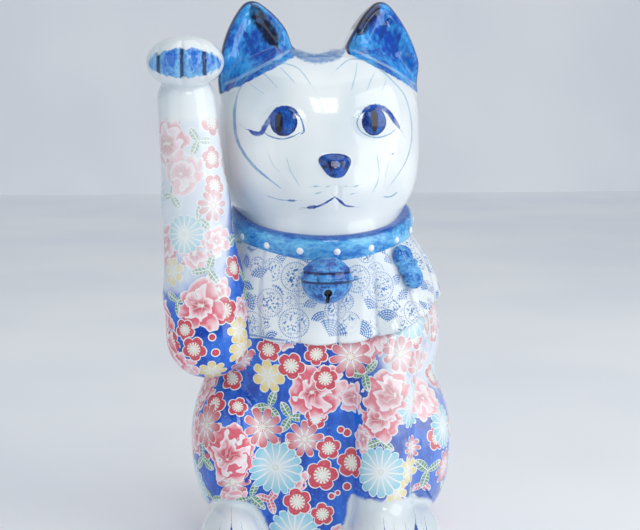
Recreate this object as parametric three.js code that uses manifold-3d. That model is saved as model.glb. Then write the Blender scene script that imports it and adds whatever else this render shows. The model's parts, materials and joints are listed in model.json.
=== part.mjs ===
// A seated ceramic cat with one paw raised, in millimetres, +Z up, facing -Y.
// The origin is on the ground, under the middle of the figure. The cat's right is -X.
//
// A potter makes this figure from slip-cast and press-moulded pieces that are joined with slip
// before firing. Each of those pieces is one mesh here. A piece that is set on another one is cut
// to that one's surface, and the slip seam is left open as a gap of SEAM.

import * as THREE from "three";
import { ConvexGeometry } from "three/addons/geometries/ConvexGeometry.js";
import { mergeVertices } from "three/addons/utils/BufferGeometryUtils.js";
import Module from "manifold-3d";

// ---------------------------------------------------------------- driving dimensions

const WALL = 4.5; // cast wall of the torso and the head
const LIMB_WALL = 6; // wall of the raised arm
const SEAM = 0.3; // slip seam between two pieces

const BODY_WIDTH = 94; // torso across X
const BODY_DEPTH = 80; // torso along Y
const NECK_HEIGHT = 130; // where the neck's seam crosses the neck's middle
const NECK_TILT = 12; // degrees, the seam and the collar dip towards the chest

const HEAD_WIDTH = 76.5;
const HEAD_DEPTH = 69;
const HEAD_HEIGHT = 69;
const HEAD_SQUARENESS = 3.1; // seen from the front, 2 is a plain ellipse
const HEAD_FULLNESS = 2.3; // the same, seen from the side
const HEAD_TURN = 4; // degrees, the face looks a little to the cat's left
const HEAD_ASIDE = -0.8;
const EAR_RISE = 18; // ear's tip over the top of the head
const EAR_SPREAD = 24.5; // from the head's middle to the ear's tip
const EAR_THICKNESS = 9;
const EAR_DISH = 3; // depth of the hollow in front
const EAR_BACK = 7; // an ear's root is this far behind the figure's middle
const EAR_SLOPE = 3; // and its tip this much further back

const ARM_INSET = 3.5; // the raised elbow's middle is this far inside the torso's side
const ARM_LEAN = 7.3; // how much further out the wrist is
const ARM_RISE = 87; // from the elbow's middle to the wrist's middle
const ARM_SETBACK = 12; // the raised arm's middle is this far behind the front of the torso
const SHOULDER_BACK = 22; // from the elbow back to the shoulder
const SHOULDER_RISE = 10;
const SHOULDER_IN = 7;
const ELBOW_RADIUS = 14.5;
const WRIST_RADIUS = 10.4;
const PAW_WIDTH = 27.8;
const PAW_HEIGHT = 19;
const PAW_DEPTH = 29;

const FORELEG_RADIUS = 10.8;
const FORELEG_OUT = 21; // from the axis to the foreleg's middle
const FOREPAW_WIDTH = 25;
const FOREPAW_LENGTH = 34;
const SHOULDER_FULLNESS = 2.5; // the foreleg's radius grows by this much at the shoulder
const HAUNCH_HEIGHT = 66;
const HAUNCH_LENGTH = 68;
const HAUNCH_BULGE = 6.7; // how far a haunch stands out past the torso
const HAUNCH_DEPTH = 35; // across X, mostly inside the torso
const HAUNCH_MIDDLE_Y = -4;
const HAUNCH_RISE = 6; // its lowest point is this far above the ground
const FOOT_INSET = { left: 12.5, right: 8.5 }; // a hind foot's middle, inside the torso's side
const FOOT_WIDTH = 24;
const FOOT_HEIGHT = 21;
const FOOT_LENGTH = 45;
const SOLE_RADIUS = 13; // half a foot's or a forepaw's full height, of which some is cut off flat
const TAIL_RADIUS = 8;

const COLLAR_WIDTH = 10; // the band's height
const COLLAR_THICKNESS = 5;
const BIB_THICKNESS = 1.9;
const BIB_DROP = 42; // from the neck's seam down to the bib's lower edge in front
const BIB_RISE = 22; // degrees, how fast the lower edge climbs towards the shoulders
const BIB_PLEATS = 15; // round the whole neck, if the bib went all the way
const BIB_PLEAT_DEPTH = 1.3;
const BELL_RADIUS = 8.7;
const BELL_SLOT = 1.6;
const BELL_BEAD = 0.6; // two raised lines round the upper half
const BELL_ASIDE = -0.8; // the bell hangs a little to the cat's right
const BOW_LENGTH = 20;
const BOW_ASIDE = 29; // from the axis to the bow's knot

const POUR_HOLE_RADIUS = 7; // the slip is poured in and drained here
const POUR_HOLE_BACK = 20; // behind the figure's middle
const VENT_RADIUS = 2; // lets the kiln's hot air out of the raised arm

// ---------------------------------------------------------------- joining and cutting

const wasm = await Module();
wasm.setup();

/** A closed three.js geometry as a solid. */
function solid(geometry) {
  const bare = geometry.clone();
  bare.deleteAttribute("normal");
  bare.deleteAttribute("uv");
  const merged = mergeVertices(bare, 1e-4);
  return new wasm.Manifold(
    new wasm.Mesh({
      numProp: 3,
      vertProperties: new Float32Array(merged.attributes.position.array),
      triVerts: new Uint32Array(merged.index.array),
    }),
  );
}

/** A solid's surface as a three.js geometry. */
function geometryOf(made) {
  const mesh = made.getMesh();
  const geometry = new THREE.BufferGeometry();
  geometry.setAttribute("position", new THREE.BufferAttribute(mesh.vertProperties, 3));
  geometry.setIndex(new THREE.BufferAttribute(mesh.triVerts, 1));
  geometry.computeVertexNormals();
  return geometry;
}

const joined = (...solids) => solids.reduce((whole, piece) => whole.add(piece));
const without = (whole, ...cutters) => cutters.reduce((rest, cutter) => rest.subtract(cutter), whole);

/** The largest body of a solid. Cutting to a neighbour can leave crumbs behind. */
function mainBody(made) {
  const bodies = made.decompose();
  return bodies.reduce((best, body) => (body.volume() > best.volume() ? body : best));
}

/** The same geometry with every vertex moved by a function. */
function reshaped(geometry, move) {
  const position = geometry.attributes.position;
  const vertex = new THREE.Vector3();
  for (let i = 0; i < position.count; i++) {
    move(vertex.fromBufferAttribute(position, i));
    position.setXYZ(i, vertex.x, vertex.y, vertex.z);
  }
  return geometry;
}

// ---------------------------------------------------------------- basic forms

const FAR = 200; // larger than any piece
const radians = THREE.MathUtils.degToRad;

/** An ellipsoid round a centre, with its poles at the top and the bottom. */
function ball(centre, radii, grow = 0, around = 22, along = 12) {
  const sphere = new THREE.SphereGeometry(1, around, along).rotateX(Math.PI / 2);
  sphere.scale(radii[0] + grow, radii[1] + grow, radii[2] + grow);
  return sphere.translate(...centre);
}

const ellipsoid = (...shape) => solid(ball(...shape));

/** A rounded limb: circles of changing radius along a smooth path, with round ends. */
function limb(stations, grow = 0, around = 20, steps = 12) {
  const path = new THREE.CatmullRomCurve3(stations.map(([x, y, z]) => new THREE.Vector3(x, y, z)));
  const length = path.getLength();
  const radiusAt = (share) => {
    const at = share * (stations.length - 1);
    const i = Math.min(stations.length - 2, Math.floor(at));
    return THREE.MathUtils.lerp(stations[i][3], stations[i + 1][3], at - i) + grow;
  };
  const caps = 5;
  const profile = [];
  for (let i = 0; i < caps; i++) {
    const turn = (i / caps) * (Math.PI / 2);
    profile.push(new THREE.Vector2(radiusAt(0) * Math.sin(turn), -radiusAt(0) * Math.cos(turn)));
  }
  for (let i = 0; i <= steps; i++) {
    profile.push(new THREE.Vector2(radiusAt(i / steps), (i / steps) * length));
  }
  for (let i = caps - 1; i >= 0; i--) {
    const turn = (i / caps) * (Math.PI / 2);
    profile.push(new THREE.Vector2(radiusAt(1) * Math.sin(turn), length + radiusAt(1) * Math.cos(turn)));
  }
  const side = new THREE.Vector3(1, 0, 0);
  const swept = reshaped(new THREE.LatheGeometry(profile, around), (v) => {
    const share = THREE.MathUtils.clamp(v.y / length, 0, 1);
    const tangent = path.getTangent(share);
    const across = side.clone().addScaledVector(tangent, -side.dot(tangent)).normalize();
    const outward = new THREE.Vector3().crossVectors(across, tangent);
    const centre = path.getPoint(share).addScaledVector(tangent, v.y - share * length);
    v.copy(centre.addScaledVector(across, v.x).addScaledVector(outward, v.z));
  });
  return solid(swept);
}

/** The tightest rounded form round a few balls, each given as x, y, z and radius. */
function hullOfBalls(balls, grow = 0, place = (geometry) => geometry) {
  const points = balls.flatMap(([x, y, z, radius]) => {
    const at = new THREE.IcosahedronGeometry(radius + grow, 2).translate(x, y, z).attributes.position;
    return Array.from({ length: at.count }, (_, i) => new THREE.Vector3().fromBufferAttribute(at, i));
  });
  return solid(place(new ConvexGeometry(points)));
}

const underground = solid(new THREE.BoxGeometry(2 * FAR, 2 * FAR, FAR).translate(0, 0, -FAR / 2));
const onGround = (whole) => without(whole, underground);

// ---------------------------------------------------------------- the neck's seam

const NECK_MIDDLE_Y = -4;
const tilt = radians(NECK_TILT);

/** Everything above (side 1) or below (side -1) the tilted seam, moved up by a distance. */
function pastNeckSeam(side, up = 0) {
  const block = new THREE.BoxGeometry(2 * FAR, 2 * FAR, FAR).translate(0, 0, (side * FAR) / 2);
  return solid(block.rotateX(tilt).translate(0, NECK_MIDDLE_Y, NECK_HEIGHT + up));
}

// ---------------------------------------------------------------- torso

// Share of the neck's height, of the half width and of the half depth, then the middle's y.
const TORSO_STATIONS = [
  [0, 0.87, 0.91, 2],
  [0.04, 0.92, 0.96, 2],
  [0.2, 0.94, 1, 3],
  [0.4, 0.93, 0.98, 2],
  [0.5, 0.95, 0.95, 1],
  [0.62, 1, 0.92, -1],
  [0.71, 0.965, 0.9, -2],
  [0.78, 0.925, 0.87, -3],
  [0.85, 0.85, 0.85, -3.5],
  [0.93, 0.7, 0.82, -4],
  [0.97, 0.64, 0.8, -4],
  [1.04, 0.61, 0.76, -4],
  [1.12, 0.6, 0.72, -4],
];
const NECK_END = TORSO_STATIONS.at(-1)[0] * NECK_HEIGHT;
const torsoTable = new THREE.CubicInterpolant(
  TORSO_STATIONS.map(([share]) => share * NECK_HEIGHT),
  TORSO_STATIONS.flatMap(([, wide, deep, y]) => [(wide * BODY_WIDTH) / 2, (deep * BODY_DEPTH) / 2, y]),
  3, // values in each station
);

/** Half width, half depth and the middle's y at a height. */
function torsoAt(height) {
  const [wide, deep, middle] = torsoTable.evaluate(THREE.MathUtils.clamp(height, 0, NECK_END));
  return { wide, deep, middle };
}

/** Torso and neck in one closed form. grow may depend on the angle and the height. */
function torsoForm(grow = 0, around = 36, rings = 15) {
  const growAt = typeof grow === "number" ? () => grow : grow;
  const foot = typeof grow === "number" ? -grow : 0;
  const profile = [new THREE.Vector2(0, foot)];
  for (let i = 0; i <= rings; i++) {
    profile.push(new THREE.Vector2(1, THREE.MathUtils.lerp(foot, NECK_END, i / rings)));
  }
  profile.push(new THREE.Vector2(0, NECK_END));
  const form = reshaped(new THREE.LatheGeometry(profile, around), (v) => {
    const { wide, deep, middle } = torsoAt(v.y);
    const more = growAt(Math.atan2(v.x, v.z), v.y);
    v.set(v.x * (wide + more), middle - v.z * (deep + more), v.y);
  });
  return solid(form);
}

function torso() {
  const cavity = torsoForm(-WALL, 24, 10);
  const pour = new THREE.CylinderGeometry(POUR_HOLE_RADIUS, POUR_HOLE_RADIUS, 4 * WALL, 24);
  const pourHole = solid(pour.rotateX(Math.PI / 2).translate(0, POUR_HOLE_BACK, WALL));
  const vent = new THREE.CylinderGeometry(VENT_RADIUS, VENT_RADIUS, 4 * WALL, 12);
  const [x, y, z] = shoulder;
  const ventHole = solid(vent.rotateZ(Math.PI / 2).translate(-torsoAt(z).wide, y, z));
  return without(torsoForm(), cavity, pourHole, ventHole, pastNeckSeam(1, -SEAM / 2));
}

// ---------------------------------------------------------------- head and ears

const HEAD_MIDDLE_Y = -2;
const HEAD_SINK = 8.5; // the head's lowest point is this far under the neck's seam
const headMiddleZ = NECK_HEIGHT - HEAD_SINK + HEAD_HEIGHT / 2;
const headTop = headMiddleZ + HEAD_HEIGHT / 2;

/** Moves a form from the head's own axes, with the face along -Y, to its place on the neck. */
function onNeck(geometry) {
  return geometry.rotateZ(radians(HEAD_TURN)).translate(HEAD_ASIDE, HEAD_MIDDLE_Y, 0);
}

/** Height of the head's skin over a place across its width. */
function headTopAt(x) {
  const share = Math.min(1, Math.abs(x) / (HEAD_WIDTH / 2)) ** HEAD_SQUARENESS;
  return headMiddleZ + (HEAD_HEIGHT / 2) * (1 - share) ** (1 / HEAD_SQUARENESS);
}

function headForm(grow = 0, around = 32, along = 20) {
  const [wide, deep, high] = [HEAD_WIDTH, HEAD_DEPTH, HEAD_HEIGHT].map((size) => size / 2 + grow);
  const [p, q] = [HEAD_SQUARENESS, HEAD_FULLNESS];
  const form = reshaped(new THREE.SphereGeometry(1, around, along).rotateX(Math.PI / 2), (v) => {
    const faceOn = (Math.abs(v.x) ** p + Math.abs(v.z) ** p) ** (1 / p);
    v.multiplyScalar((faceOn ** q + Math.abs(v.y) ** q) ** (-1 / q));
    v.set(v.x * wide, v.y * deep, v.z * high + headMiddleZ);
  });
  return solid(onNeck(form));
}

/** The head with its muzzle and nose, which come out of the same mould. */
function headSkin(grow = 0) {
  const front = -HEAD_DEPTH / 2;
  const muzzle = ball([0, front + 6, headMiddleZ - 0.25 * HEAD_HEIGHT], [16, 10, 10], grow, 20, 10);
  const nose = ball([0, front + 0.5, headMiddleZ - 0.085 * HEAD_HEIGHT], [6, 5, 4.6], grow, 14, 8);
  return joined(headForm(grow), solid(onNeck(muzzle)), solid(onNeck(nose)));
}

function head() {
  const inside = joined(headForm(-WALL, 24, 14), torsoForm(-WALL, 24, 10));
  return without(joined(headSkin(), torsoForm()), inside, pastNeckSeam(-1, SEAM / 2));
}

/** One ear, side -1 for the cat's right: the tightest form round the balls in its corners. */
function earForm(side, grow = 0) {
  const edge = EAR_THICKNESS / 2;
  const outer = HEAD_WIDTH / 2 - edge - 0.5;
  const inner = EAR_SPREAD - 10.5;
  const tip = headTop + EAR_RISE - edge;
  const corners = [
    [side * outer, EAR_BACK, headTopAt(outer) - 1, edge],
    [side * (EAR_SPREAD + 7), EAR_BACK + EAR_SLOPE / 3, tip - 14, edge],
    [side * (EAR_SPREAD + 3.5), EAR_BACK + (EAR_SLOPE * 2) / 3, tip - 5.5, edge],
    [side * EAR_SPREAD, EAR_BACK + EAR_SLOPE, tip, edge],
    [side * inner, EAR_BACK, headTopAt(inner) - edge, edge],
  ];
  return hullOfBalls(corners, grow, onNeck);
}

/** An ear, dished in front. */
function ear(side) {
  const scoop = 3.5; // radius of the tool that hollows the ear
  const front = EAR_BACK - EAR_THICKNESS / 2 + EAR_DISH - scoop;
  const outer = HEAD_WIDTH / 2 - EAR_THICKNESS / 2 - 2.5;
  const inner = EAR_SPREAD - 7;
  const tip = headTop + EAR_RISE - EAR_THICKNESS / 2;
  const dish = [
    [side * outer, front, headTopAt(outer) + 4.5, scoop],
    [side * (EAR_SPREAD + 5), front + EAR_SLOPE / 2, tip - 12, scoop],
    [side * inner, front, headTop + 2.5, scoop],
    [side * EAR_SPREAD, front + EAR_SLOPE, tip - 3, scoop - 0.5],
  ];
  return mainBody(without(earForm(side), hullOfBalls(dish, 0, onNeck), headForm(SEAM)));
}

// ---------------------------------------------------------------- raised arm

const elbow = [ARM_INSET - BODY_WIDTH / 2, ARM_SETBACK - BODY_DEPTH / 2, NECK_HEIGHT - 45];
const shoulder = [elbow[0] + SHOULDER_IN, elbow[1] + SHOULDER_BACK, elbow[2] + SHOULDER_RISE];
const wrist = [elbow[0] - ARM_LEAN, elbow[1], elbow[2] + ARM_RISE];

/** A place on the raised forearm, with its radius. */
function alongForearm(share, radius) {
  return [...elbow.map((start, i) => THREE.MathUtils.lerp(start, wrist[i], share)), radius];
}

function armForm(grow = 0) {
  const forearm = hullOfBalls(
    [
      alongForearm(0, ELBOW_RADIUS),
      alongForearm(0.17, ELBOW_RADIUS + 0.4),
      alongForearm(0.58, (ELBOW_RADIUS + WRIST_RADIUS) / 2 - 0.5),
      alongForearm(1, WRIST_RADIUS),
    ],
    grow,
  );
  const upper = hullOfBalls([alongForearm(0.05, ELBOW_RADIUS), [...shoulder, ELBOW_RADIUS]], grow);
  return joined(forearm, upper);
}

/** The raised paw is folded forward over the wrist. */
function pawForm(grow = 0) {
  const [x, y, z] = wrist;
  return ellipsoid([x, y - 5, z + 13.5], [PAW_WIDTH / 2, PAW_DEPTH / 2, PAW_HEIGHT / 2], grow);
}

function raisedArm() {
  const bore = hullOfBalls([alongForearm(0, ELBOW_RADIUS), alongForearm(0.9, WRIST_RADIUS)], -LIMB_WALL);
  const upperBore = hullOfBalls([alongForearm(0, ELBOW_RADIUS), [...shoulder, ELBOW_RADIUS]], -LIMB_WALL);
  return mainBody(without(armForm(), bore, upperBore, torsoForm(SEAM), headSkin(SEAM), earForm(-1, SEAM)));
}

const raisedPaw = () => mainBody(without(pawForm(), armForm(SEAM), headSkin(SEAM), earForm(-1, SEAM)));

// ---------------------------------------------------------------- legs, feet and tail

function haunchForm(side, grow = 0) {
  const out = torsoAt(HAUNCH_HEIGHT / 2).wide + HAUNCH_BULGE - HAUNCH_DEPTH / 2;
  const radii = [HAUNCH_DEPTH, HAUNCH_LENGTH, HAUNCH_HEIGHT].map((size) => size / 2);
  return ellipsoid([side * out, HAUNCH_MIDDLE_Y, HAUNCH_HEIGHT / 2 + HAUNCH_RISE], radii, grow, 24, 14);
}

const legFront = torsoAt(NECK_HEIGHT / 3).middle - torsoAt(NECK_HEIGHT / 3).deep;

function forelegForm(grow = 0) {
  const leg = hullOfBalls(
    [
      [FORELEG_OUT + 5, legFront + 15, NECK_HEIGHT - 45, FORELEG_RADIUS + SHOULDER_FULLNESS],
      [FORELEG_OUT, legFront + 3, NECK_HEIGHT / 2, FORELEG_RADIUS],
      [FORELEG_OUT, legFront, 16, FORELEG_RADIUS],
    ],
    grow,
  );
  const radii = [FOREPAW_WIDTH / 2, FOREPAW_LENGTH / 2, SOLE_RADIUS + 0.5];
  const paw = ellipsoid([FORELEG_OUT - 1.5, legFront - 6, 8.5], radii, grow);
  return joined(leg, paw);
}

function footForm(side, grow = 0) {
  const out = torsoAt(FOOT_HEIGHT).wide - (side < 0 ? FOOT_INSET.right : FOOT_INSET.left);
  const up = FOOT_HEIGHT - SOLE_RADIUS;
  return ellipsoid([side * out, legFront + 4, up], [FOOT_WIDTH / 2, FOOT_LENGTH / 2, SOLE_RADIUS], grow);
}

const haunch = (side) => mainBody(onGround(without(haunchForm(side), torsoForm(SEAM), armForm(SEAM))));
const foreleg = () => mainBody(onGround(without(forelegForm(), torsoForm(SEAM), haunchForm(1, SEAM))));

function hindFoot(side) {
  const free = without(footForm(side), torsoForm(SEAM), haunchForm(side, SEAM), forelegForm(SEAM));
  return mainBody(onGround(free));
}

/** A short tail that lies curled against the back. */
function tailForm() {
  const back = torsoAt(15).middle + torsoAt(15).deep;
  const stations = [
    [-4, back - 5, 14, TAIL_RADIUS],
    [8, back + 3, 13, TAIL_RADIUS],
    [20, back, 17, TAIL_RADIUS * 0.95],
    [26, back - 5, 27, TAIL_RADIUS * 0.85],
  ];
  return limb(stations, 0, 16, 9);
}

const tail = () =>
  mainBody(onGround(without(tailForm(), torsoForm(SEAM), haunchForm(1, SEAM), haunchForm(-1, SEAM))));

// ---------------------------------------------------------------- collar and bib

const COLLAR_DROP = 4.8; // from the neck's seam down to the middle of the band
const collarAt = NECK_HEIGHT - COLLAR_DROP;

/** The collar: a rounded band bent round the neck. */
function collarForm(grow = 0) {
  const { wide, deep } = torsoAt(collarAt);
  const [half, out] = [COLLAR_WIDTH / 2 + grow, COLLAR_THICKNESS + grow];
  const section = [];
  for (let i = 0; i <= 7; i++) {
    const turn = (i / 7 - 0.5) * Math.PI;
    section.push([out * Math.cos(turn) ** 0.7, half * Math.sin(turn)]);
  }
  const profile = section.map(([x, y]) => new THREE.Vector2(1 + x, y));
  profile.push(new THREE.Vector2(0.5, half), new THREE.Vector2(0.5, -half), profile[0].clone());
  const band = reshaped(new THREE.LatheGeometry(profile, 36), (v) => {
    const reach = Math.hypot(v.x, v.z);
    const [x, z] = [v.x / reach, v.z / reach];
    const rim = reach >= 1 ? reach - 1 : -8;
    v.set(x * (wide + rim), -z * (deep + rim), v.y);
  });
  return solid(band.rotateX(tilt).translate(0, NECK_MIDDLE_Y, collarAt));
}

const collar = () => mainBody(without(collarForm(), torsoForm(SEAM), headSkin(SEAM), armForm(SEAM)));

/** The bib's cloth over the chest and the shoulder, thick enough to cut the ornaments to. */
function bibSkin(grow = 0) {
  const pleated = (angle, height) => {
    const hem = THREE.MathUtils.clamp((NECK_HEIGHT - height) / BIB_DROP, 0, 1);
    const fold = 0.5 + 0.5 * Math.cos(angle * BIB_PLEATS);
    return SEAM + BIB_THICKNESS + grow + BIB_PLEAT_DEPTH * hem * fold;
  };
  return joined(torsoForm(pleated, 75, 16), forelegForm(SEAM + BIB_THICKNESS + grow));
}

/** The space the bib is cut out of: over its hem, in front of the back of the shoulders. */
function bibSpace() {
  const hem = new THREE.BoxGeometry(2 * FAR, 2 * FAR, FAR).translate(0, 0, FAR / 2);
  const front = torsoAt(NECK_HEIGHT - BIB_DROP).middle - torsoAt(NECK_HEIGHT - BIB_DROP).deep;
  hem.rotateX(radians(BIB_RISE)).translate(0, front, NECK_HEIGHT - BIB_DROP - 4);
  const back = new THREE.BoxGeometry(2 * FAR, FAR, 2 * FAR).translate(0, -FAR / 2, 0);
  back.rotateX(radians(-20)).translate(0, 8, NECK_HEIGHT - 18);
  return solid(hem).intersect(solid(back));
}

function bib() {
  const cloth = bibSkin().intersect(bibSpace());
  const body = [torsoForm(SEAM), forelegForm(SEAM), haunchForm(1, SEAM)];
  return mainBody(without(cloth, ...body, collarForm(SEAM), armForm(SEAM), headSkin(SEAM)));
}

// ---------------------------------------------------------------- bell and bow

/** A place over the bib's cloth, given across X, by its height and by how far out it is. */
function overBib(x, height, out) {
  const { wide, deep, middle } = torsoAt(height);
  const y = -deep * Math.sqrt(1 - (x / wide) ** 2);
  const outward = new THREE.Vector2(x / wide ** 2, y / deep ** 2).setLength(SEAM + BIB_THICKNESS + out);
  return [x + outward.x, middle + y + outward.y, height];
}

/** What the bell and the bow lie against. */
const behindOrnaments = () => [bibSkin(SEAM), collarForm(SEAM), headSkin(SEAM)];

function bell() {
  const [x, y, z] = overBib(BELL_ASIDE, collarAt - 17, BELL_RADIUS * 0.85);
  const slot = new THREE.BoxGeometry(BELL_SLOT, 5, 3.6).translate(x, y - BELL_RADIUS, z - 6.2);
  const hole = new THREE.CylinderGeometry(1.3, 1.3, 5, 12).translate(x, y - BELL_RADIUS, z - 4.4);
  const profile = [];
  for (let i = 0; i <= 16; i++) {
    const turn = (i / 16 - 0.5) * Math.PI;
    const bead = i === 9 || i === 11 ? BELL_BEAD : 0;
    profile.push(new THREE.Vector2((BELL_RADIUS + bead) * Math.cos(turn), BELL_RADIUS * Math.sin(turn)));
  }
  profile[0].x = profile[16].x = 0;
  const body = solid(new THREE.LatheGeometry(profile, 24).rotateX(Math.PI / 2).translate(x, y, z));
  return mainBody(without(body, solid(slot), solid(hole), ...behindOrnaments()));
}

const bowLean = radians(27); // the bow hangs outwards

/** A place on the bow, given along its length from the knot down and out from the cloth. */
function onBow(along, out) {
  return overBib(BOW_ASIDE + along * Math.sin(bowLean), collarAt - 16 - along * Math.cos(bowLean), out);
}

const bowKnotForm = (grow = 0) => hullOfBalls([[...onBow(0, 1.8), 3.4]], grow);

/** One loop of the bow, way -1 for the upper one, with a dent for its eye. */
function bowLoop(way) {
  const at = (share, out, radius) => [...onBow(way * share * BOW_LENGTH, out), radius];
  const loop = hullOfBalls([at(0.1, 1.2, 2.6), at(0.33, 1.2, 3.6)]);
  const eye = hullOfBalls([at(0.22, 4.8, 0.6), at(0.36, 4.8, 1.3)]);
  return mainBody(without(loop, eye, bowKnotForm(SEAM), ...behindOrnaments()));
}

const bowKnot = () => mainBody(without(bowKnotForm(), ...behindOrnaments()));

// ---------------------------------------------------------------- colours and assembly

const GLAZE = { roughness: 0.12, metalness: 0 };
const WHITE = { color: 0xe9ecf0, ...GLAZE };
const COBALT = { color: 0x2352c4, ...GLAZE };
const BLUE = { color: 0x3f87d8, ...GLAZE };
const FLOWERED = { color: 0x6f86cf, ...GLAZE };
const PALE_FLOWERED = { color: 0xc9cfe8, ...GLAZE };

const PIECES = [
  ["torso", torso, FLOWERED],
  ["head", head, WHITE],
  ["left_ear", () => ear(1), COBALT],
  ["right_ear", () => ear(-1), COBALT],
  ["raised_arm", raisedArm, PALE_FLOWERED],
  ["raised_paw", raisedPaw, WHITE],
  ["left_foreleg", foreleg, FLOWERED],
  ["left_haunch", () => haunch(1), FLOWERED],
  ["right_haunch", () => haunch(-1), FLOWERED],
  ["left_hind_foot", () => hindFoot(1), WHITE],
  ["right_hind_foot", () => hindFoot(-1), WHITE],
  ["tail", tail, COBALT],
  ["collar", collar, BLUE],
  ["bib", bib, WHITE],
  ["bell", bell, COBALT],
  ["bow_knot", bowKnot, BLUE],
  ["bow_upper_loop", () => bowLoop(-1), BLUE],
  ["bow_lower_loop", () => bowLoop(1), BLUE],
];

const cat = new THREE.Group();
cat.name = "ceramic_cat";
for (const [name, make, look] of PIECES) {
  const mesh = new THREE.Mesh(geometryOf(make()), new THREE.MeshStandardMaterial(look));
  mesh.name = name;
  cat.add(mesh);
}

export default cat;
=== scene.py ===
# %% [markdown]
# # A beckoning cat in painted porcelain
# The figure is slip-cast white porcelain. A flowered transfer covers its body, and a painter has
# added the cobalt face, ears, collar and bell before the clear glaze. The frame gives the size and
# the place of every piece, and this lesson gives each one its shape, its painting and its glaze.

# %% Load the frame
import json
import math

import bpy
import numpy as np
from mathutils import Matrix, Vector

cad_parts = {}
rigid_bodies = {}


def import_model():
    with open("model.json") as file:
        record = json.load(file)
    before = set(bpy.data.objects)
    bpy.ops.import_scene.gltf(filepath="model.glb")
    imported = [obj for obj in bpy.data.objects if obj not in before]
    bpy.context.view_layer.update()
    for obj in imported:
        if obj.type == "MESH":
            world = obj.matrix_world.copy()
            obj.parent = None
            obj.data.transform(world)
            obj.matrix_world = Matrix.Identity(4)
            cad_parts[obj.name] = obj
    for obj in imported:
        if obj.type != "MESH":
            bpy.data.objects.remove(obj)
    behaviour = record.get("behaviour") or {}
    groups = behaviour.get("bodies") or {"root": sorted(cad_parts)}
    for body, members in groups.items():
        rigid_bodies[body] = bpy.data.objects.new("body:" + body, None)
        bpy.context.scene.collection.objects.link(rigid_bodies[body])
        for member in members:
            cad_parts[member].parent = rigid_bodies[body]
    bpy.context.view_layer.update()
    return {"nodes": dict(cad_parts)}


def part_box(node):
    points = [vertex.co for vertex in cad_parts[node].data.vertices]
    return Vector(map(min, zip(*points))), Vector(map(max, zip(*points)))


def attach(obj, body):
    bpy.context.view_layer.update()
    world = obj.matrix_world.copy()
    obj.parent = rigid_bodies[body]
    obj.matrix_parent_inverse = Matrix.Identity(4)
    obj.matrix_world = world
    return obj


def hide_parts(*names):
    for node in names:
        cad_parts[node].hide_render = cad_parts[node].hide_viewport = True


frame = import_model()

print("pieces in the frame:", len(frame["nodes"]))

# %% [markdown]
# ## Measures
# The forms are worked out in millimetres, because a modeller thinks of a cat this size in
# millimetres. They become metres only when a mesh is made.

# %% Measures taken from the frame
MM = 0.001
TILT = math.radians(12)  # the neck's seam and the collar dip towards the chest
NECK_MIDDLE_Y = -4.0


def box_of(node):
    """The lowest and the highest corner of one of the frame's pieces, in millimetres."""
    low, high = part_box(node)
    return np.array(low) / MM, np.array(high) / MM


torso_high = box_of("torso")[1]
HALF_WIDTH = torso_high[0]
HALF_DEPTH = torso_high[1] - 3
NECK_HEIGHT = torso_high[2] - 0.75 * HALF_DEPTH * math.tan(TILT)
print(f"torso: half width {HALF_WIDTH:.1f}, half depth {HALF_DEPTH:.1f}, neck at {NECK_HEIGHT:.1f} mm")

# %% [markdown]
# ## Forms as distance fields
# Clay pieces that are pressed together flow into each other. Joining meshes would leave hard
# creases, so each form is a function here that tells how far a place is from its surface, below
# nought inside. Two such forms run into each other softly when their distances are blended.

# %% Distances to simple forms


def reach(v):
    return np.sqrt((v * v).sum(-1))


def ellipsoid(p, centre, radii):
    q = (p - np.array(centre)) / np.array(radii)
    away = reach(q)
    return away * (away - 1) / np.maximum(reach(q / np.array(radii)), 1e-9)


def limb(p, start, end, start_radius, end_radius):
    """A round limb between two places, thicker at one end."""
    start, end = np.array(start), np.array(end)
    along = ((p - start) @ (end - start)) / ((end - start) @ (end - start))
    along = np.clip(along, 0, 1)
    nearest = start + along[..., None] * (end - start)
    return reach(p - nearest) - (start_radius + along * (end_radius - start_radius))


def join(a, b, soft):
    """Two forms pressed together. soft is the size of the fillet between them."""
    share = np.clip(0.5 + 0.5 * (b - a) / soft, 0, 1)
    return b + (a - b) * share - soft * share * (1 - share)


def common(a, b, soft):
    """What two forms have in common, with a rounded edge."""
    return -join(-a, -b, soft)


def step(x, low, high):
    """Climbs smoothly from 0 at low to 1 at high."""
    share = np.clip((x - low) / (high - low), 0, 1)
    return share * share * (3 - 2 * share)


def bump(x, middle, width):
    return np.exp(-(((x - middle) / width) ** 2))


# %% [markdown]
# ## Wrapping a skin round a form
# Blender's own remesher follows a grid and forgets sharp paint edges. This wrapper does the same
# job in numpy: each grid cell that the surface crosses gets one vertex, neighbouring cells are
# joined by four-sided faces, and the vertices then slide onto the true surface.

# %% The skin of a form


def slopes(field, p, h=0.05):
    """The direction in which the distance grows, at each place."""
    columns = []
    for axis in range(3):
        offset = np.zeros(3)
        offset[axis] = h
        columns.append((field(p + offset) - field(p - offset)) / (2 * h))
    return np.stack(columns, -1)


def settle(field, p, most):
    """Slides places onto the surface, by no more than a given distance."""
    for _ in range(3):
        slope = slopes(field, p)
        move = -field(p) / np.maximum((slope * slope).sum(-1), 1e-6)
        shift = slope * move[:, None]
        size = np.maximum(reach(shift), 1e-9)
        p = p + shift * np.minimum(1, most / size)[:, None]
    return p


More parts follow.
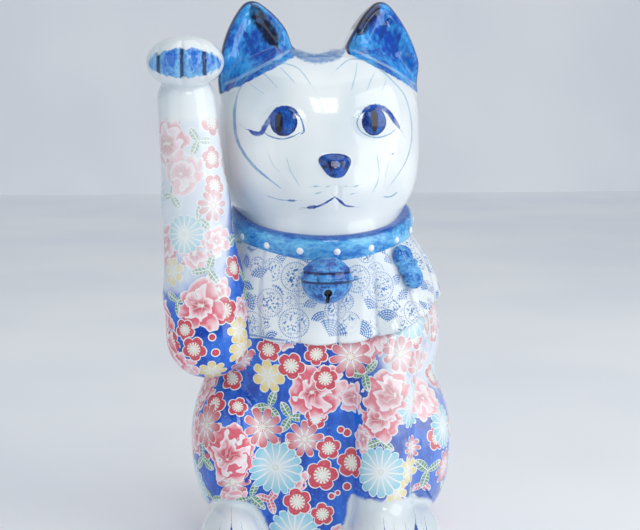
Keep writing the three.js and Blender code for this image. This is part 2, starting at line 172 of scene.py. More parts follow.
def crossing_faces(inside, number, axis):
    """One four-sided face for each grid edge along an axis that crosses the surface."""
    turned = np.moveaxis(inside, axis, 0)
    cells = np.moveaxis(number, axis, 0)
    if axis == 1:
        turned, cells = turned.transpose(0, 2, 1), cells.transpose(0, 2, 1)
    start, end = turned[:-1, 1:-1, 1:-1], turned[1:, 1:-1, 1:-1]
    i, j, k = np.nonzero(start != end)
    corners = [cells[i, j + a, k + b] for a, b in ((0, 0), (1, 0), (1, 1), (0, 1))]
    faces = np.stack(corners, -1)
    leaving = start[i, j, k]
    return np.concatenate([faces[leaving], faces[~leaving][:, ::-1]])


def skin(field, low, high, spacing):
    """The closed surface where field is nought, as vertices, four-sided faces and normals."""
    low, high = np.array(low, float), np.array(high, float)
    counts = np.ceil((high - low) / spacing).astype(int) + 1
    xs, ys, zs = (low[i] + spacing * np.arange(counts[i]) for i in range(3))
    sheet = np.stack(np.meshgrid(ys, zs, indexing="ij"), -1)
    slices = []
    for x in xs:
        plane = np.concatenate([np.full(sheet.shape[:2] + (1,), x), sheet], -1)
        slices.append(field(plane) < 0)
    inside = np.stack(slices)
    filled = sum(
        inside[a : a + counts[0] - 1, b : b + counts[1] - 1, c : c + counts[2] - 1].astype(int)
        for a in (0, 1)
        for b in (0, 1)
        for c in (0, 1)
    )
    crossed = (filled > 0) & (filled < 8)
    number = np.full(crossed.shape, -1)
    number[crossed] = np.arange(crossed.sum())
    points = low + spacing * (np.argwhere(crossed) + 0.5)
    faces = np.concatenate([crossing_faces(inside, number, axis) for axis in range(3)])
    points = relax(field, settle(field, points, spacing), faces, spacing)
    normals = slopes(field, points)
    return points, faces, normals / reach(normals)[:, None]


def relax(field, points, faces, spacing, rounds=3):
    """Evens out the faces, and keeps the vertices on the surface."""
    for _ in range(rounds):
        total = np.zeros_like(points)
        seen = np.zeros(len(points))
        for a, b in ((0, 1), (1, 2), (2, 3), (3, 0)):
            np.add.at(total, faces[:, a], points[faces[:, b]])
            np.add.at(total, faces[:, b], points[faces[:, a]])
            np.add.at(seen, faces[:, a], 1)
            np.add.at(seen, faces[:, b], 1)
        points = 0.4 * points + 0.6 * total / np.maximum(seen, 1)[:, None]
        points = settle(field, points, spacing)
    return points


# %% [markdown]
# ## The body
# Torso, haunches, feet, foreleg, raised arm, paw and tail come from different moulds and are
# luted together with slip. They are one skin here, so that the glaze runs over the joints, and
# the skin is shared out among the pieces afterwards.

# %% The torso's outline

# Share of the neck's height, of the half width and of the half depth, then the middle's y.
TORSO_STATIONS = np.array([
    [-0.1, 0.84, 0.88, 2], [0, 0.87, 0.91, 2], [0.04, 0.92, 0.96, 2], [0.2, 0.94, 1, 3],
    [0.4, 0.93, 0.98, 2], [0.5, 0.95, 0.95, 1], [0.62, 1, 0.92, -1], [0.71, 0.965, 0.9, -2],
    [0.78, 0.925, 0.87, -3], [0.85, 0.85, 0.85, -3.5], [0.93, 0.7, 0.82, -4],
    [0.97, 0.64, 0.8, -4], [1.04, 0.61, 0.76, -4], [1.12, 0.6, 0.72, -4], [1.2, 0.6, 0.7, -4],
])


def through(stations, column, at):
    """A smooth curve through a column of the stations."""
    heights, values = stations[:, 0], stations[:, column]
    tangent = np.gradient(values, heights)
    i = np.clip(np.searchsorted(heights, at) - 1, 0, len(heights) - 2)
    span = heights[i + 1] - heights[i]
    t = np.clip((at - heights[i]) / span, 0, 1)
    rise = (2 * t**3 - 3 * t**2 + 1) * values[i] + (3 * t**2 - 2 * t**3) * values[i + 1]
    lean = (t**3 - 2 * t**2 + t) * tangent[i] + (t**3 - t**2) * tangent[i + 1]
    return rise + span * lean


FINE_HEIGHTS = np.arange(-12, 156, 0.5)
FINE_TORSO = [through(TORSO_STATIONS, c, FINE_HEIGHTS / NECK_HEIGHT) for c in (1, 2, 3)]


def torso_at(z):
    """Half width, half depth and the middle's y at a height."""
    wide, deep, middle = (np.interp(z, FINE_HEIGHTS, column) for column in FINE_TORSO)
    return wide * HALF_WIDTH, deep * HALF_DEPTH, middle


def torso_form(p):
    wide, deep, middle = torso_at(p[..., 2])
    x, y = p[..., 0] / wide, (p[..., 1] - middle) / deep
    away = np.sqrt(x * x + y * y)
    steep = np.sqrt((x / wide) ** 2 + (y / deep) ** 2)
    return away * (away - 1) / np.maximum(steep, 1e-9)


wide, deep, middle = torso_at(NECK_HEIGHT / 3)
LEG_FRONT = middle - deep
print(f"front of the torso at the forelegs: y {LEG_FRONT:.1f} mm")

# %% Haunches, feet and foreleg
HAUNCH_RADII = (17.5, 34, 33)
FOOT_RADII = (12, 22.5, 13)
haunch_out = box_of("left_haunch")[1][0] - HAUNCH_RADII[0]
foot_out = {1: box_of("left_hind_foot")[1][0] - 12, -1: box_of("right_hind_foot")[0][0] + 12}
FORELEG_OUT = 21
TOE_SPREAD = 5.2


def toes(p, centre_x, front_y, height=9.0, depth=0.8):
    """Three grooves in the front of a foot, which part its four toes."""
    across = p[..., 0] - centre_x
    grooves = sum(bump(across, TOE_SPREAD * i, 0.9) for i in (-1, 0, 1))
    return depth * grooves * step(-p[..., 1], -front_y - 9, -front_y) * step(-p[..., 2], -height - 5, -height)


def haunch_form(p, side):
    return ellipsoid(p, (side * haunch_out, -4, HAUNCH_RADII[2] + 6), HAUNCH_RADII)


def foot_form(p, side):
    front = LEG_FRONT + 4 - FOOT_RADII[1]
    foot = ellipsoid(p, (foot_out[side], LEG_FRONT + 4, 8), FOOT_RADII)
    return foot + toes(p, foot_out[side], front)


def foreleg_form(p):
    knee = (FORELEG_OUT, LEG_FRONT + 3, NECK_HEIGHT / 2)
    upper = limb(p, (FORELEG_OUT + 5, LEG_FRONT + 15, NECK_HEIGHT - 45), knee, 13.3, 10.8)
    lower = limb(p, knee, (FORELEG_OUT, LEG_FRONT, 16), 10.8, 10.8)
    paw = ellipsoid(p, (FORELEG_OUT - 1.5, LEG_FRONT - 6, 8.5), (12.5, 17, 13.5))
    paw = paw + toes(p, FORELEG_OUT - 1.5, LEG_FRONT - 23)
    return join(join(upper, lower, 4), paw, 5)


# %% Raised arm, paw and tail
ELBOW = np.array([3.5 - HALF_WIDTH, -28, NECK_HEIGHT - 45])
WRIST = ELBOW + np.array([-7.3, 0, 87])
SHOULDER = ELBOW + np.array([7, 22, 10])
PAW_MIDDLE = WRIST + np.array([0, -5, 13.5])
PAW_RADII = (13.9, 14.5, 9.5)
PAD_GROOVES = (-9.2, -0.9, 6.9)  # across the paw, from its middle


def arm_form(p):
    lower = limb(p, ELBOW, ELBOW + 0.17 * (WRIST - ELBOW), 14.5, 14.9)
    middle = limb(p, ELBOW + 0.17 * (WRIST - ELBOW), ELBOW + 0.58 * (WRIST - ELBOW), 14.9, 12.0)
    upper = limb(p, ELBOW + 0.58 * (WRIST - ELBOW), WRIST, 12.0, 10.4)
    to_body = limb(p, ELBOW, SHOULDER, 14.5, 14.5)
    return join(join(join(lower, middle, 3), upper, 3), to_body, 5)


def paw_form(p):
    paw = ellipsoid(p, PAW_MIDDLE, PAW_RADII)
    across = p[..., 0] - PAW_MIDDLE[0]
    grooves = sum(bump(across, place, 0.8) for place in PAD_GROOVES)
    front = step(-p[..., 1], 36, 44) * step(-p[..., 2], -195, -189)
    return paw + 0.55 * grooves * front


wide, deep, middle = torso_at(15.0)
TAIL_BACK = middle + deep
TAIL_PLACES = [(-4, TAIL_BACK - 5, 14, 8), (8, TAIL_BACK + 3, 13, 8), (20, TAIL_BACK, 17, 7.6)]
TAIL_PLACES.append((26, TAIL_BACK - 5, 27, 6.8))


def tail_form(p):
    made = None
    for start, end in zip(TAIL_PLACES, TAIL_PLACES[1:]):
        stretch = limb(p, start[:3], end[:3], start[3], end[3])
        made = stretch if made is None else join(made, stretch, 3)
    return made


# %% The whole body as one form
BODY_PARTS = {
    "torso": (torso_form, 0),
    "left_haunch": (lambda p: haunch_form(p, 1), 3.5),
    "right_haunch": (lambda p: haunch_form(p, -1), 3.5),
    "left_foreleg": (foreleg_form, 3.5),
    "left_hind_foot": (lambda p: foot_form(p, 1), 2.5),
    "right_hind_foot": (lambda p: foot_form(p, -1), 2.5),
    "raised_arm": (arm_form, 4.0),
    "raised_paw": (paw_form, 1.4),
    "tail": (tail_form, 2.5),
}
ARM_INSIDE = -34.0  # the raised arm lies outside this, and the neck inside it
DRAIN_BACK = 20.0
DRAIN_RADIUS = 7.0
DRAIN_DEPTH = 5.0


def body_form(p):
    made = None
    for form, soft in BODY_PARTS.values():
        part = form(p)
        made = part if made is None else join(made, part, soft)
    return made


def neck_plane(p, height):
    """How far a place is above the neck's tilted seam."""
    up = p[..., 2] - height
    return up * math.cos(TILT) - (p[..., 1] - NECK_MIDDLE_Y) * math.sin(TILT)


def standing_body(p):
    """The body with its flat foot, its cut neck and the drain hole underneath."""
    z = p[..., 2]
    made = common(body_form(p), -z, 2.0)
    neck = np.where(p[..., 0] < ARM_INSIDE, -50, neck_plane(p, NECK_HEIGHT - 2.2))
    made = common(made, neck, 1.0)
    drain = np.sqrt(p[..., 0] ** 2 + (p[..., 1] - DRAIN_BACK) ** 2) - DRAIN_RADIUS
    drain = np.maximum(drain, z - DRAIN_DEPTH)
    return common(made, -drain, 0.8)


body_skin = skin(standing_body, (-69, -64, -3), (56, 57, 199), 1.15)
print("body skin:", len(body_skin[0]), "vertices", len(body_skin[1]), "faces")

# %% [markdown]
# ## The head
# A boxy rounded head with heavy jowls, a small muzzle and thin leaf-shaped ears. The raised
# nose, the lens-shaped eyes and the muzzle's two cushions belong to the same mould.

# %% The head's form
HEAD_TURN = math.radians(4)
HEAD_ASIDE = -0.8
HEAD_MIDDLE_Y = -2.0
HEAD_RADII = np.array([38.25, 34.5, 34.5])
HEAD_TOP = box_of("head")[1][2]
HEAD_MIDDLE_Z = HEAD_TOP - HEAD_RADII[2]
HEAD_SQUARENESS = 3.1  # seen from the front, 2 is a plain ellipse
HEAD_FULLNESS = 2.3  # the same, seen from the side
EYES = {-1: (-17.0, 8.0), 1: (16.0, 8.0)}  # across and up from the head's middle
EYE_RADIUS = 4.9
NOSE = (0.9, -7.2)


def on_head(p):
    """A place in the head's own axes: across, back and up from the head's middle."""
    x, y = p[..., 0] - HEAD_ASIDE, p[..., 1] - HEAD_MIDDLE_Y
    across = x * math.cos(HEAD_TURN) + y * math.sin(HEAD_TURN)
    back = y * math.cos(HEAD_TURN) - x * math.sin(HEAD_TURN)
    return np.stack([across, back, p[..., 2] - HEAD_MIDDLE_Z], -1)


def nose_edge(x, z):
    """Distance to the edge of the nose, a rounded shield that points down."""
    u, v = x - NOSE[0], z - NOSE[1]
    top = v - 3.9 + 0.035 * u * u
    left = -0.83 * (u + 6.0) - 0.557 * (v - 1.2)
    right = 0.874 * (u - 6.2) - 0.485 * (v - 0.2)
    sides = common(common(top, left, 3.4), right, 3.4)
    return common(sides, -v - 4.9, 2.6)


def skull_form(q):
    x, y, z = (np.abs(q[..., i]) / HEAD_RADII[i] for i in range(3))
    face_on = (x**HEAD_SQUARENESS + z**HEAD_SQUARENESS) ** (1 / HEAD_SQUARENESS)
    away = (face_on**HEAD_FULLNESS + y**HEAD_FULLNESS) ** (1 / HEAD_FULLNESS)
    return (away - 1) * 34.0


def face_form(q):
    """The skull with its eye sockets, muzzle, eyes, nose and mouth."""
    x, y, z = q[..., 0], q[..., 1], q[..., 2]
    made = skull_form(q)
    facing = step(-y, 8, 22)
    for side, (eye_x, eye_z) in EYES.items():
        near = np.exp(-(((x - eye_x) / 9.5) ** 2 + ((z - eye_z) / 8.5) ** 2))
        made = made + 1.1 * near * facing
    for side in (-1, 1):
        puff = ellipsoid(q, (1 + side * 5.5, -27.6, -16.5), (10.0, 7.6, 8.5))
        made = join(made, puff, 8.0)
    for side, (eye_x, eye_z) in EYES.items():
        lens = ((x - eye_x) / 1.25) ** 2 + (z - eye_z) ** 2
        made = made - 1.7 * np.clip(1 - lens / 6.8**2, 0, 1) ** 1.4 * facing
    made = made - 1.9 * step(-nose_edge(x, z), -0.4, 2.6) * facing
    cleft = bump(x, NOSE[0] + 1.4, 0.9) * step(-z, 14.0, 16.0) * step(z, -24.5, -21.0)
    return made + 0.45 * cleft * facing


# %% The ears' form
EAR_OUTER_ARC = (-5.5, 23.3, 43.8)  # middle across and up, and radius
EAR_INNER_ARC = (40.5, 26.0, 31.6)
EAR_ROOT_LINE = ((10.2, 35.2), (33.2, 23.2))


def ear_edge(x, z):
    """Distance to the ear's outline. Two arcs meet at its rounded tip."""
    outer = np.sqrt((x - EAR_OUTER_ARC[0]) ** 2 + (z - EAR_OUTER_ARC[1]) ** 2) - EAR_OUTER_ARC[2]
    inner = np.sqrt((x - EAR_INNER_ARC[0]) ** 2 + (z - EAR_INNER_ARC[1]) ** 2) - EAR_INNER_ARC[2]
    return common(outer, inner, 5.0)


def over_root(x, z):
    """Height over the fold where the ear's hollow meets the head."""
    (x0, z0), (x1, z1) = EAR_ROOT_LINE
    slope = math.hypot(x1 - x0, z1 - z0)
    return ((x1 - x0) * (z - z0) - (z1 - z0) * (x - x0)) / slope


def ear_front(x, z):
    """How far back the ear's front face lies: it starts on the brow and leans back to the tip."""
    over = over_root(x, z)
    beside_brow = 9 * step(-x, -18, -9) + 10 * step(x, 27, 38)
    return -14.5 + 0.72 * over + beside_brow * step(-over, -9, 0)


def ear_form(q, side):
    x, z = side * q[..., 0], q[..., 2]
    edge = ear_edge(x, z)
    dish = 3.2 * step(-edge, 1.2, 7.0) * step(over_root(x, z), -0.5, 4.5)
    front = ear_front(x, z) - q[..., 1] + dish
    back = q[..., 1] - 8.0 - 0.1 * (z - 34)
    plate = common(common(front, back, 2.0), edge, 4.0)
    return common(plate, 16.0 - z, 3.0)


def neck_form(p):
    """The part of the neck above its seam, which belongs to the head's mould."""
    neck = common(torso_form(p) - 0.3, -neck_plane(p, NECK_HEIGHT - 2), 1.0)
    return common(neck, p[..., 2] - (HEAD_MIDDLE_Z - 10), 4.0)


def head_form(p):
    q = on_head(p)
    made = join(face_form(q), neck_form(p), 5.0)
    for side in (-1, 1):
        made = join(made, ear_form(q, side), 2.2)
    return made


head_skin = skin(head_form, (-43, -48, 117), (43, 38, 213), 0.85)
print("head skin:", len(head_skin[0]), "vertices", len(head_skin[1]), "faces")

# %% [markdown]
# ## From one skin to hollow pieces
# A slip-cast piece is a thin hollow wall. Each piece takes its own share of the skin, gets an
# inner face a wall's thickness below it, and a rim that joins the two, so it is a closed shell.

# %% Make a hollow piece


def share_out(points, faces, forms):
    """Tells for each face which form it lies nearest to."""
    middles = points[faces].mean(1)
    return np.argmin(np.stack([form(middles) for form in forms]), 0)


def free_edges(faces):
    """The edges that belong to one face only, in that face's direction."""
    count = faces.max() + 1
    edges = np.concatenate([faces[:, [i, (i + 1) % 4]] for i in range(4)])
    key, back = edges[:, 0] * count + edges[:, 1], edges[:, 1] * count + edges[:, 0]
    return edges[~np.isin(key, back)]


def shell(points, faces, normals, wall):
    """A closed shell: the outer skin, the inner one turned round, and the rim."""
    used, flat = np.unique(faces, return_inverse=True)
    outer = flat.reshape(-1, 4)
    count = len(used)
    p, n = points[used], normals[used]
    rim = free_edges(outer)
    rim_faces = np.stack([rim[:, 1], rim[:, 0], rim[:, 0] + count, rim[:, 1] + count], -1)
    all_faces = np.concatenate([outer, outer[:, ::-1] + count, rim_faces])
    return np.concatenate([p, p - n * wall]), all_faces, np.concatenate([n, -n])


def mesh_piece(name, points, faces, normals=None):
    """A mesh object in metres, with the given normals."""
    mesh = bpy.data.meshes.new(name)
    mesh.from_pydata((points * MM).tolist(), [], faces.tolist())
    mesh.polygons.foreach_set("use_smooth", np.ones(len(mesh.polygons), bool))
    if normals is not None:
        mesh.normals_split_custom_set_from_vertices(normals.tolist())
    piece = bpy.data.objects.new(name, mesh)
    bpy.context.scene.collection.objects.link(piece)
    return piece


WALL = 2.4
HEAD_WALL = 2.0
pieces = {}


def split_skin(made, forms, wall=WALL):
    """Shares a skin out among pieces, and makes each one a hollow shell."""
    points, faces, normals = made
    owner = share_out(points, faces, list(forms.values()))
    for i, name in enumerate(forms):
        mine = faces[owner == i]
        p, f, n = shell(points, mine, normals, wall)
        pieces[name] = mesh_piece(name, p, f, n)
        print(f"{name}: {len(f)} faces")


body_forms = {name: form for name, (form, soft) in BODY_PARTS.items()}
head_forms = {"head": lambda p: np.minimum(face_form(on_head(p)), neck_form(p))}
head_forms["left_ear"] = lambda p: ear_form(on_head(p), 1)
head_forms["right_ear"] = lambda p: ear_form(on_head(p), -1)
split_skin(body_skin, body_forms)
split_skin(head_skin, head_forms, HEAD_WALL)

# %% [markdown]
# ## The bib
# The bib is clay too: a thin sheet that the potter lays over the chest and presses into pleats.
# It follows the chest at a small distance, so its form is the chest's own distance field, grown
# by the cloth's thickness and cut off at the hem. The pleats deepen towards the hem.

# %% The bib's form
BIB_THICKNESS = 1.7
BIB_LAP = 1.3  # how far the cloth reaches into the chest, so that no gap shows
PLEATS = 16  # all round the neck
PLEAT_DEPTH = 1.5
FIRST_PLEAT = math.radians(6)
HEM_HEIGHT = 83.6  # in front


def hem_height(x):
    """The lower edge climbs over the raised side less than over the shoulder."""
    return HEM_HEIGHT + np.where(x > 0, 0.0062, 0.0020) * x * x


def pleat(p):
    angle = np.arctan2(p[..., 0], NECK_MIDDLE_Y - p[..., 1])
    return np.abs(np.sin((angle - FIRST_PLEAT) * PLEATS / 2)) ** 0.7


def bib_form(p):
    x, y, z = p[..., 0], p[..., 1], p[..., 2]
    over = join(torso_form(p), foreleg_form(p), 4.0)
    drop = np.clip((NECK_HEIGHT - 12 - z) / 32, 0, 1)
    fold = pleat(p)
    fuller = 0.15 + 0.85 * step(-y, -8, 4)  # the cloth thins out towards its back edge
    outside = over - fuller * (BIB_THICKNESS + PLEAT_DEPTH * drop * fold)
    cloth = common(outside, -over - BIB_LAP, 0.7)
    cloth = common(cloth, hem_height(x) - 0.7 * fold - z, 1.4)
    cloth = common(cloth, neck_plane(p, NECK_HEIGHT - 5), 0.5)
    back = math.cos(math.radians(20)) * (y - 8) + math.sin(math.radians(20)) * (NECK_HEIGHT - 18 - z)
    return common(common(cloth, back, 1.2), -x - 45, 1.0)


bib_skin = skin(bib_form, (-47, -47, 78), (50, 18, 128), 0.8)
print("bib skin:", len(bib_skin[1]), "faces")

# %% [markdown]
# ## Bell and bow
# Both are small sprigs, pressed in a hand mould and stuck on. The bell has two raised lines, a
# round mouth and a slot below it. The bow is a knot between two loops, and each loop has an eye.

# %% The bell's form
bell_low, bell_high = box_of("bell")
BELL_RADIUS = 8.7
bell_centre = (bell_low + bell_high) / 2
BELL_MIDDLE = np.array([bell_centre[0], bell_low[1] + BELL_RADIUS, bell_centre[2]])
BELL_RADII = (9.5, 8.6, 8.8)
BELL_LINES = (4.3, 1.0)  # heights of the two raised lines over the bell's middle
BELL_MOUTH = -3.6


def bell_form(p):
    q = p - BELL_MIDDLE
    x, z = q[..., 0], q[..., 2]
    ball = ellipsoid(q, (0, 0, 0), BELL_RADII) + 0.25
    ball = ball - sum(0.45 * bump(z, line, 0.55) for line in BELL_LINES)
    front = step(-q[..., 1], 2, 4)
    hole = np.sqrt(x * x + (z - BELL_MOUTH) ** 2)
    lip = bump(hole, 2.0, 0.5) * front
    slit = np.maximum(np.abs(x) - 0.5, np.maximum(z - BELL_MOUTH, -z - 7.4))
    mouth = np.minimum(hole - 1.25, slit)
    mouth = np.maximum(mouth, q[..., 1] + 4.5)
    return common(ball - 0.2 * lip, -mouth, 0.35)


# %% The bow's form
BOW_LEAN = math.radians(27)
BOW_ALONG = np.array([math.sin(BOW_LEAN), 0.0, -math.cos(BOW_LEAN)])
knot_low, knot_high = box_of("bow_knot")
KNOT_MIDDLE = (knot_low + knot_high) / 2 + np.array([-1.1, 0.2, 1.1])
outward = np.array([0.62, -0.78, 0.0])
BOW_OUT = outward - BOW_ALONG * (outward @ BOW_ALONG)
BOW_OUT = BOW_OUT / np.linalg.norm(BOW_OUT)
BOW_ACROSS = np.cross(BOW_OUT, BOW_ALONG)
LOOP_REACH = 4.2  # from the knot's middle to a loop's middle


def on_bow(p, along):
    """A place in the bow's own axes: along it, across it and out from the cloth."""
    q = p - KNOT_MIDDLE - BOW_ALONG * along
    return np.stack([q @ BOW_ALONG, q @ BOW_ACROSS, q @ BOW_OUT], -1)


def loop_form(p, way):
    q = on_bow(p, way * LOOP_REACH)
    loop = ellipsoid(q, (0, 0, 0), (4.6, 4.2, 2.8))
    eye = np.sqrt(((q[..., 0] - way * 0.6) / 2.0) ** 2 + q[..., 1] ** 2)
    return loop + 1.0 * step(-eye, -1.2, -0.3) * step(q[..., 2], 0.5, 1.5)


def knot_form(p):
    q = on_bow(p, 0)
    knot = ellipsoid(q, (0, 0, 0.0), (3.4, 4.2, 3.0))
    return knot + 0.3 * np.cos(2.1 * q[..., 0] + 1.2 * q[..., 1]) * step(q[..., 2], 0, 2)


small_skins = {
    "bell": skin(bell_form, BELL_MIDDLE - 10, BELL_MIDDLE + 10, 0.4),
    "bow_knot": skin(knot_form, KNOT_MIDDLE - 5, KNOT_MIDDLE + 5, 0.3),
    "bow_upper_loop": skin(lambda p: loop_form(p, -1), KNOT_MIDDLE - 13, KNOT_MIDDLE + 13, 0.4),
    "bow_lower_loop": skin(lambda p: loop_form(p, 1), KNOT_MIDDLE - 13, KNOT_MIDDLE + 13, 0.4),
}
for name, (points, faces, normals) in small_skins.items():
    pieces[name] = mesh_piece(name, points, faces, normals)
    print(f"{name}: {len(faces)} faces")
pieces["bib"] = mesh_piece("bib", *bib_skin)

# %% [markdown]
# ## The collar and its enamel dots
# A roll of clay runs round the neck and follows its tilted oval. A path with a section swept
# along it is the rule behind that shape, so Geometry Nodes make it, and the same oval path
# spaces out the drops of raised white enamel.

# %% Helpers for node trees


def new_tree(name, inputs):
    """A Geometry Nodes tree with named inputs, each with its kind and its value."""
    tree = bpy.data.node_groups.new(name, "GeometryNodeTree")
    for title, (kind, value) in inputs.items():
        socket = tree.interface.new_socket(title, in_out="INPUT", socket_type="NodeSocket" + kind)
        if value is not None:
            socket.default_value = value
    tree.interface.new_socket("Geometry", in_out="OUTPUT", socket_type="NodeSocketGeometry")
    return tree, tree.nodes.new("NodeGroupInput").outputs


def add(tree, kind, inputs, output=0, **settings):
    """Adds a node, joins or sets its inputs, and gives back one of its outputs."""
    node = tree.nodes.new(kind)
    for key, value in settings.items():
        setattr(node, key, value)
    for key, value in inputs.items():
        if isinstance(value, bpy.types.NodeSocket):
            tree.links.new(value, node.inputs[key])
        else:
            node.inputs[key].default_value = value
    return node.outputs[output]


def made_by(tree, name, values):
    """Runs a tree on an empty mesh and keeps the result as a plain mesh."""
    carrier = bpy.data.objects.new(name + "_carrier", bpy.data.meshes.new(name))
    bpy.context.scene.collection.objects.link(carrier)
    modifier = carrier.modifiers.new("make", "NODES")
    modifier.node_group = tree
    for item in tree.interface.items_tree:
        if item.in_out == "INPUT" and item.name in values:
            modifier[item.identifier] = values[item.name]
    bpy.context.view_layer.update()
    evaluated = carrier.evaluated_get(bpy.context.evaluated_depsgraph_get())
    mesh = bpy.data.meshes.new_from_object(evaluated)
    bpy.data.objects.remove(carrier)
    mesh.name = name
    piece = bpy.data.objects.new(name, mesh)
    bpy.context.scene.collection.objects.link(piece)
    return piece


# %% The oval path round the neck
COLLAR_DROP = 4.8
COLLAR_HALF_HEIGHT = 5.2
COLLAR_HALF_THICKNESS = 3.3
wide, deep, middle = torso_at(NECK_HEIGHT - COLLAR_DROP)
COLLAR_MIDDLE = np.array([0.0, NECK_MIDDLE_Y, NECK_HEIGHT - COLLAR_DROP])
COLLAR_OVAL = (wide + 1.9, deep + 1.9)
PATH_INPUTS = {
    "Half width": ("Float", COLLAR_OVAL[0] * MM),
    "Half depth": ("Float", COLLAR_OVAL[1] * MM),
    "Material": ("Material", None),
}


def oval_path(tree, sizes, resolution):
    circle = add(tree, "GeometryNodeCurvePrimitiveCircle", {"Resolution": resolution, "Radius": 1.0})
    scale = add(tree, "ShaderNodeCombineXYZ", {0: sizes["Half width"], 1: sizes["Half depth"], 2: 1.0})
    place = add(tree, "GeometryNodeInputPosition", {})
    stretched = add(tree, "ShaderNodeVectorMath", {0: place, 1: scale}, operation="MULTIPLY")
    path = add(tree, "GeometryNodeSetPosition", {"Geometry": circle, "Position": stretched})
    return add(tree, "GeometryNodeSetCurveNormal", {"Curve": path}, mode="Z_UP"), scale


def finish_tree(tree, geometry, material):
    """Tilts the result to the neck's seam, and ends the tree."""
    place = [c * MM for c in COLLAR_MIDDLE]
    moves = {"Geometry": geometry, "Translation": place, "Rotation": (TILT, 0, 0)}
    moved = add(tree, "GeometryNodeTransform", moves)
    smooth = add(tree, "GeometryNodeSetShadeSmooth", {"Geometry": moved})
    real = add(tree, "GeometryNodeRealizeInstances", {"Geometry": smooth})
    finished = add(tree, "GeometryNodeSetMaterial", {"Geometry": real, "Material": material})
    tree.links.new(finished, tree.nodes.new("NodeGroupOutput").inputs[0])


# %% The collar's tree
collar_tree, sizes = new_tree("collar_band", PATH_INPUTS | {
    "Half height": ("Float", COLLAR_HALF_HEIGHT * MM),
    "Half thickness": ("Float", COLLAR_HALF_THICKNESS * MM),
})
path, scale = oval_path(collar_tree, sizes, 240)
ring = add(collar_tree, "GeometryNodeCurvePrimitiveCircle", {"Resolution": 36, "Radius": 1.0})
place = add(collar_tree, "GeometryNodeInputPosition", {})
fuller = add(collar_tree, "ShaderNodeVectorMath", {0: place}, operation="ABSOLUTE")
fuller = add(collar_tree, "ShaderNodeVectorMath", {0: fuller, 1: (0.8, 0.8, 1.0)}, operation="POWER")
signs = add(collar_tree, "ShaderNodeVectorMath", {0: place}, operation="SIGN")
fuller = add(collar_tree, "ShaderNodeVectorMath", {0: fuller, 1: signs}, operation="MULTIPLY")
section_size = add(collar_tree, "ShaderNodeCombineXYZ", {0: sizes["Half thickness"], 1: sizes["Half height"]})
fuller = add(collar_tree, "ShaderNodeVectorMath", {0: fuller, 1: section_size}, operation="MULTIPLY")
section = add(collar_tree, "GeometryNodeSetPosition", {"Geometry": ring, "Position": fuller})
band = add(collar_tree, "GeometryNodeCurveToMesh", {"Curve": path, "Profile Curve": section})
finish_tree(collar_tree, band, sizes["Material"])

# %% The enamel dots' tree
DOT_RADIUS = 1.35
DOT_COUNT = 17
dot_tree, sizes = new_tree("enamel_dots", PATH_INPUTS | {
    "Count": ("Int", DOT_COUNT),
    "Dot radius": ("Float", DOT_RADIUS * MM),
    "Stand out": ("Float", (COLLAR_HALF_THICKNESS - 0.15) * MM),
})
path, scale = oval_path(dot_tree, sizes, 240)
spots = add(dot_tree, "GeometryNodeCurveToPoints", {"Curve": path, "Count": sizes["Count"]})
place = add(dot_tree, "GeometryNodeInputPosition", {})
outwards = add(dot_tree, "ShaderNodeVectorMath", {0: place, 1: scale}, operation="DIVIDE")
outwards = add(dot_tree, "ShaderNodeVectorMath", {0: outwards, 1: scale}, operation="DIVIDE")
outwards = add(dot_tree, "ShaderNodeVectorMath", {0: outwards, 1: (1, 1, 0)}, operation="MULTIPLY")
outwards = add(dot_tree, "ShaderNodeVectorMath", {0: outwards}, operation="NORMALIZE")
offset = add(dot_tree, "ShaderNodeVectorMath", {0: outwards, "Scale": sizes["Stand out"]}, operation="SCALE")
turn = add(dot_tree, "FunctionNodeAlignRotationToVector", {"Vector": outwards}, axis="Z")
spots = add(dot_tree, "GeometryNodeSetPosition", {"Geometry": spots, "Offset": offset})
drop = add(dot_tree, "GeometryNodeMeshUVSphere", {"Segments": 16, "Rings": 10, "Radius": sizes["Dot radius"]})
flat = (1.0, 1.0, 0.5)
drops = {"Points": spots, "Instance": drop, "Rotation": turn, "Scale": flat}
finish_tree(dot_tree, add(dot_tree, "GeometryNodeInstanceOnPoints", drops), sizes["Material"])
print(f"collar oval: {2 * COLLAR_OVAL[0]:.1f} by {2 * COLLAR_OVAL[1]:.1f} mm, {DOT_COUNT} enamel dots")

# %% [markdown]
# ## Where the flowers go
# A transfer is a printed sheet of flowers that is floated onto the clay. An image would blur, so
# every flower is a round patch with its own flat axes on the surface, and each face remembers
# the three patches that cover it. The finish then draws the petals by formula, sharp at any size.

# %% Colours, as a painter names them


def paint(red, green, blue):
    """A colour from the paint chart (0 to 255), as the linear values that light adds up in."""
    share = np.array([red, green, blue]) / 255
    linear = np.where(share < 0.04045, share / 12.92, ((share + 0.055) / 1.055) ** 2.4)
    return (*(float(c) for c in linear), 1.0)


WHITE = paint(235, 241, 243)
COBALT = paint(12, 62, 170)
NAVY = paint(6, 22, 80)
SKY = paint(120, 186, 232)
RED = paint(208, 70, 90)
ROSE = paint(226, 100, 122)
PALE_PINK = paint(242, 168, 182)
PALE_BLUE = paint(142, 206, 226)
LEAF_GREEN = paint(84, 148, 104)
YELLOW = paint(232, 208, 110)

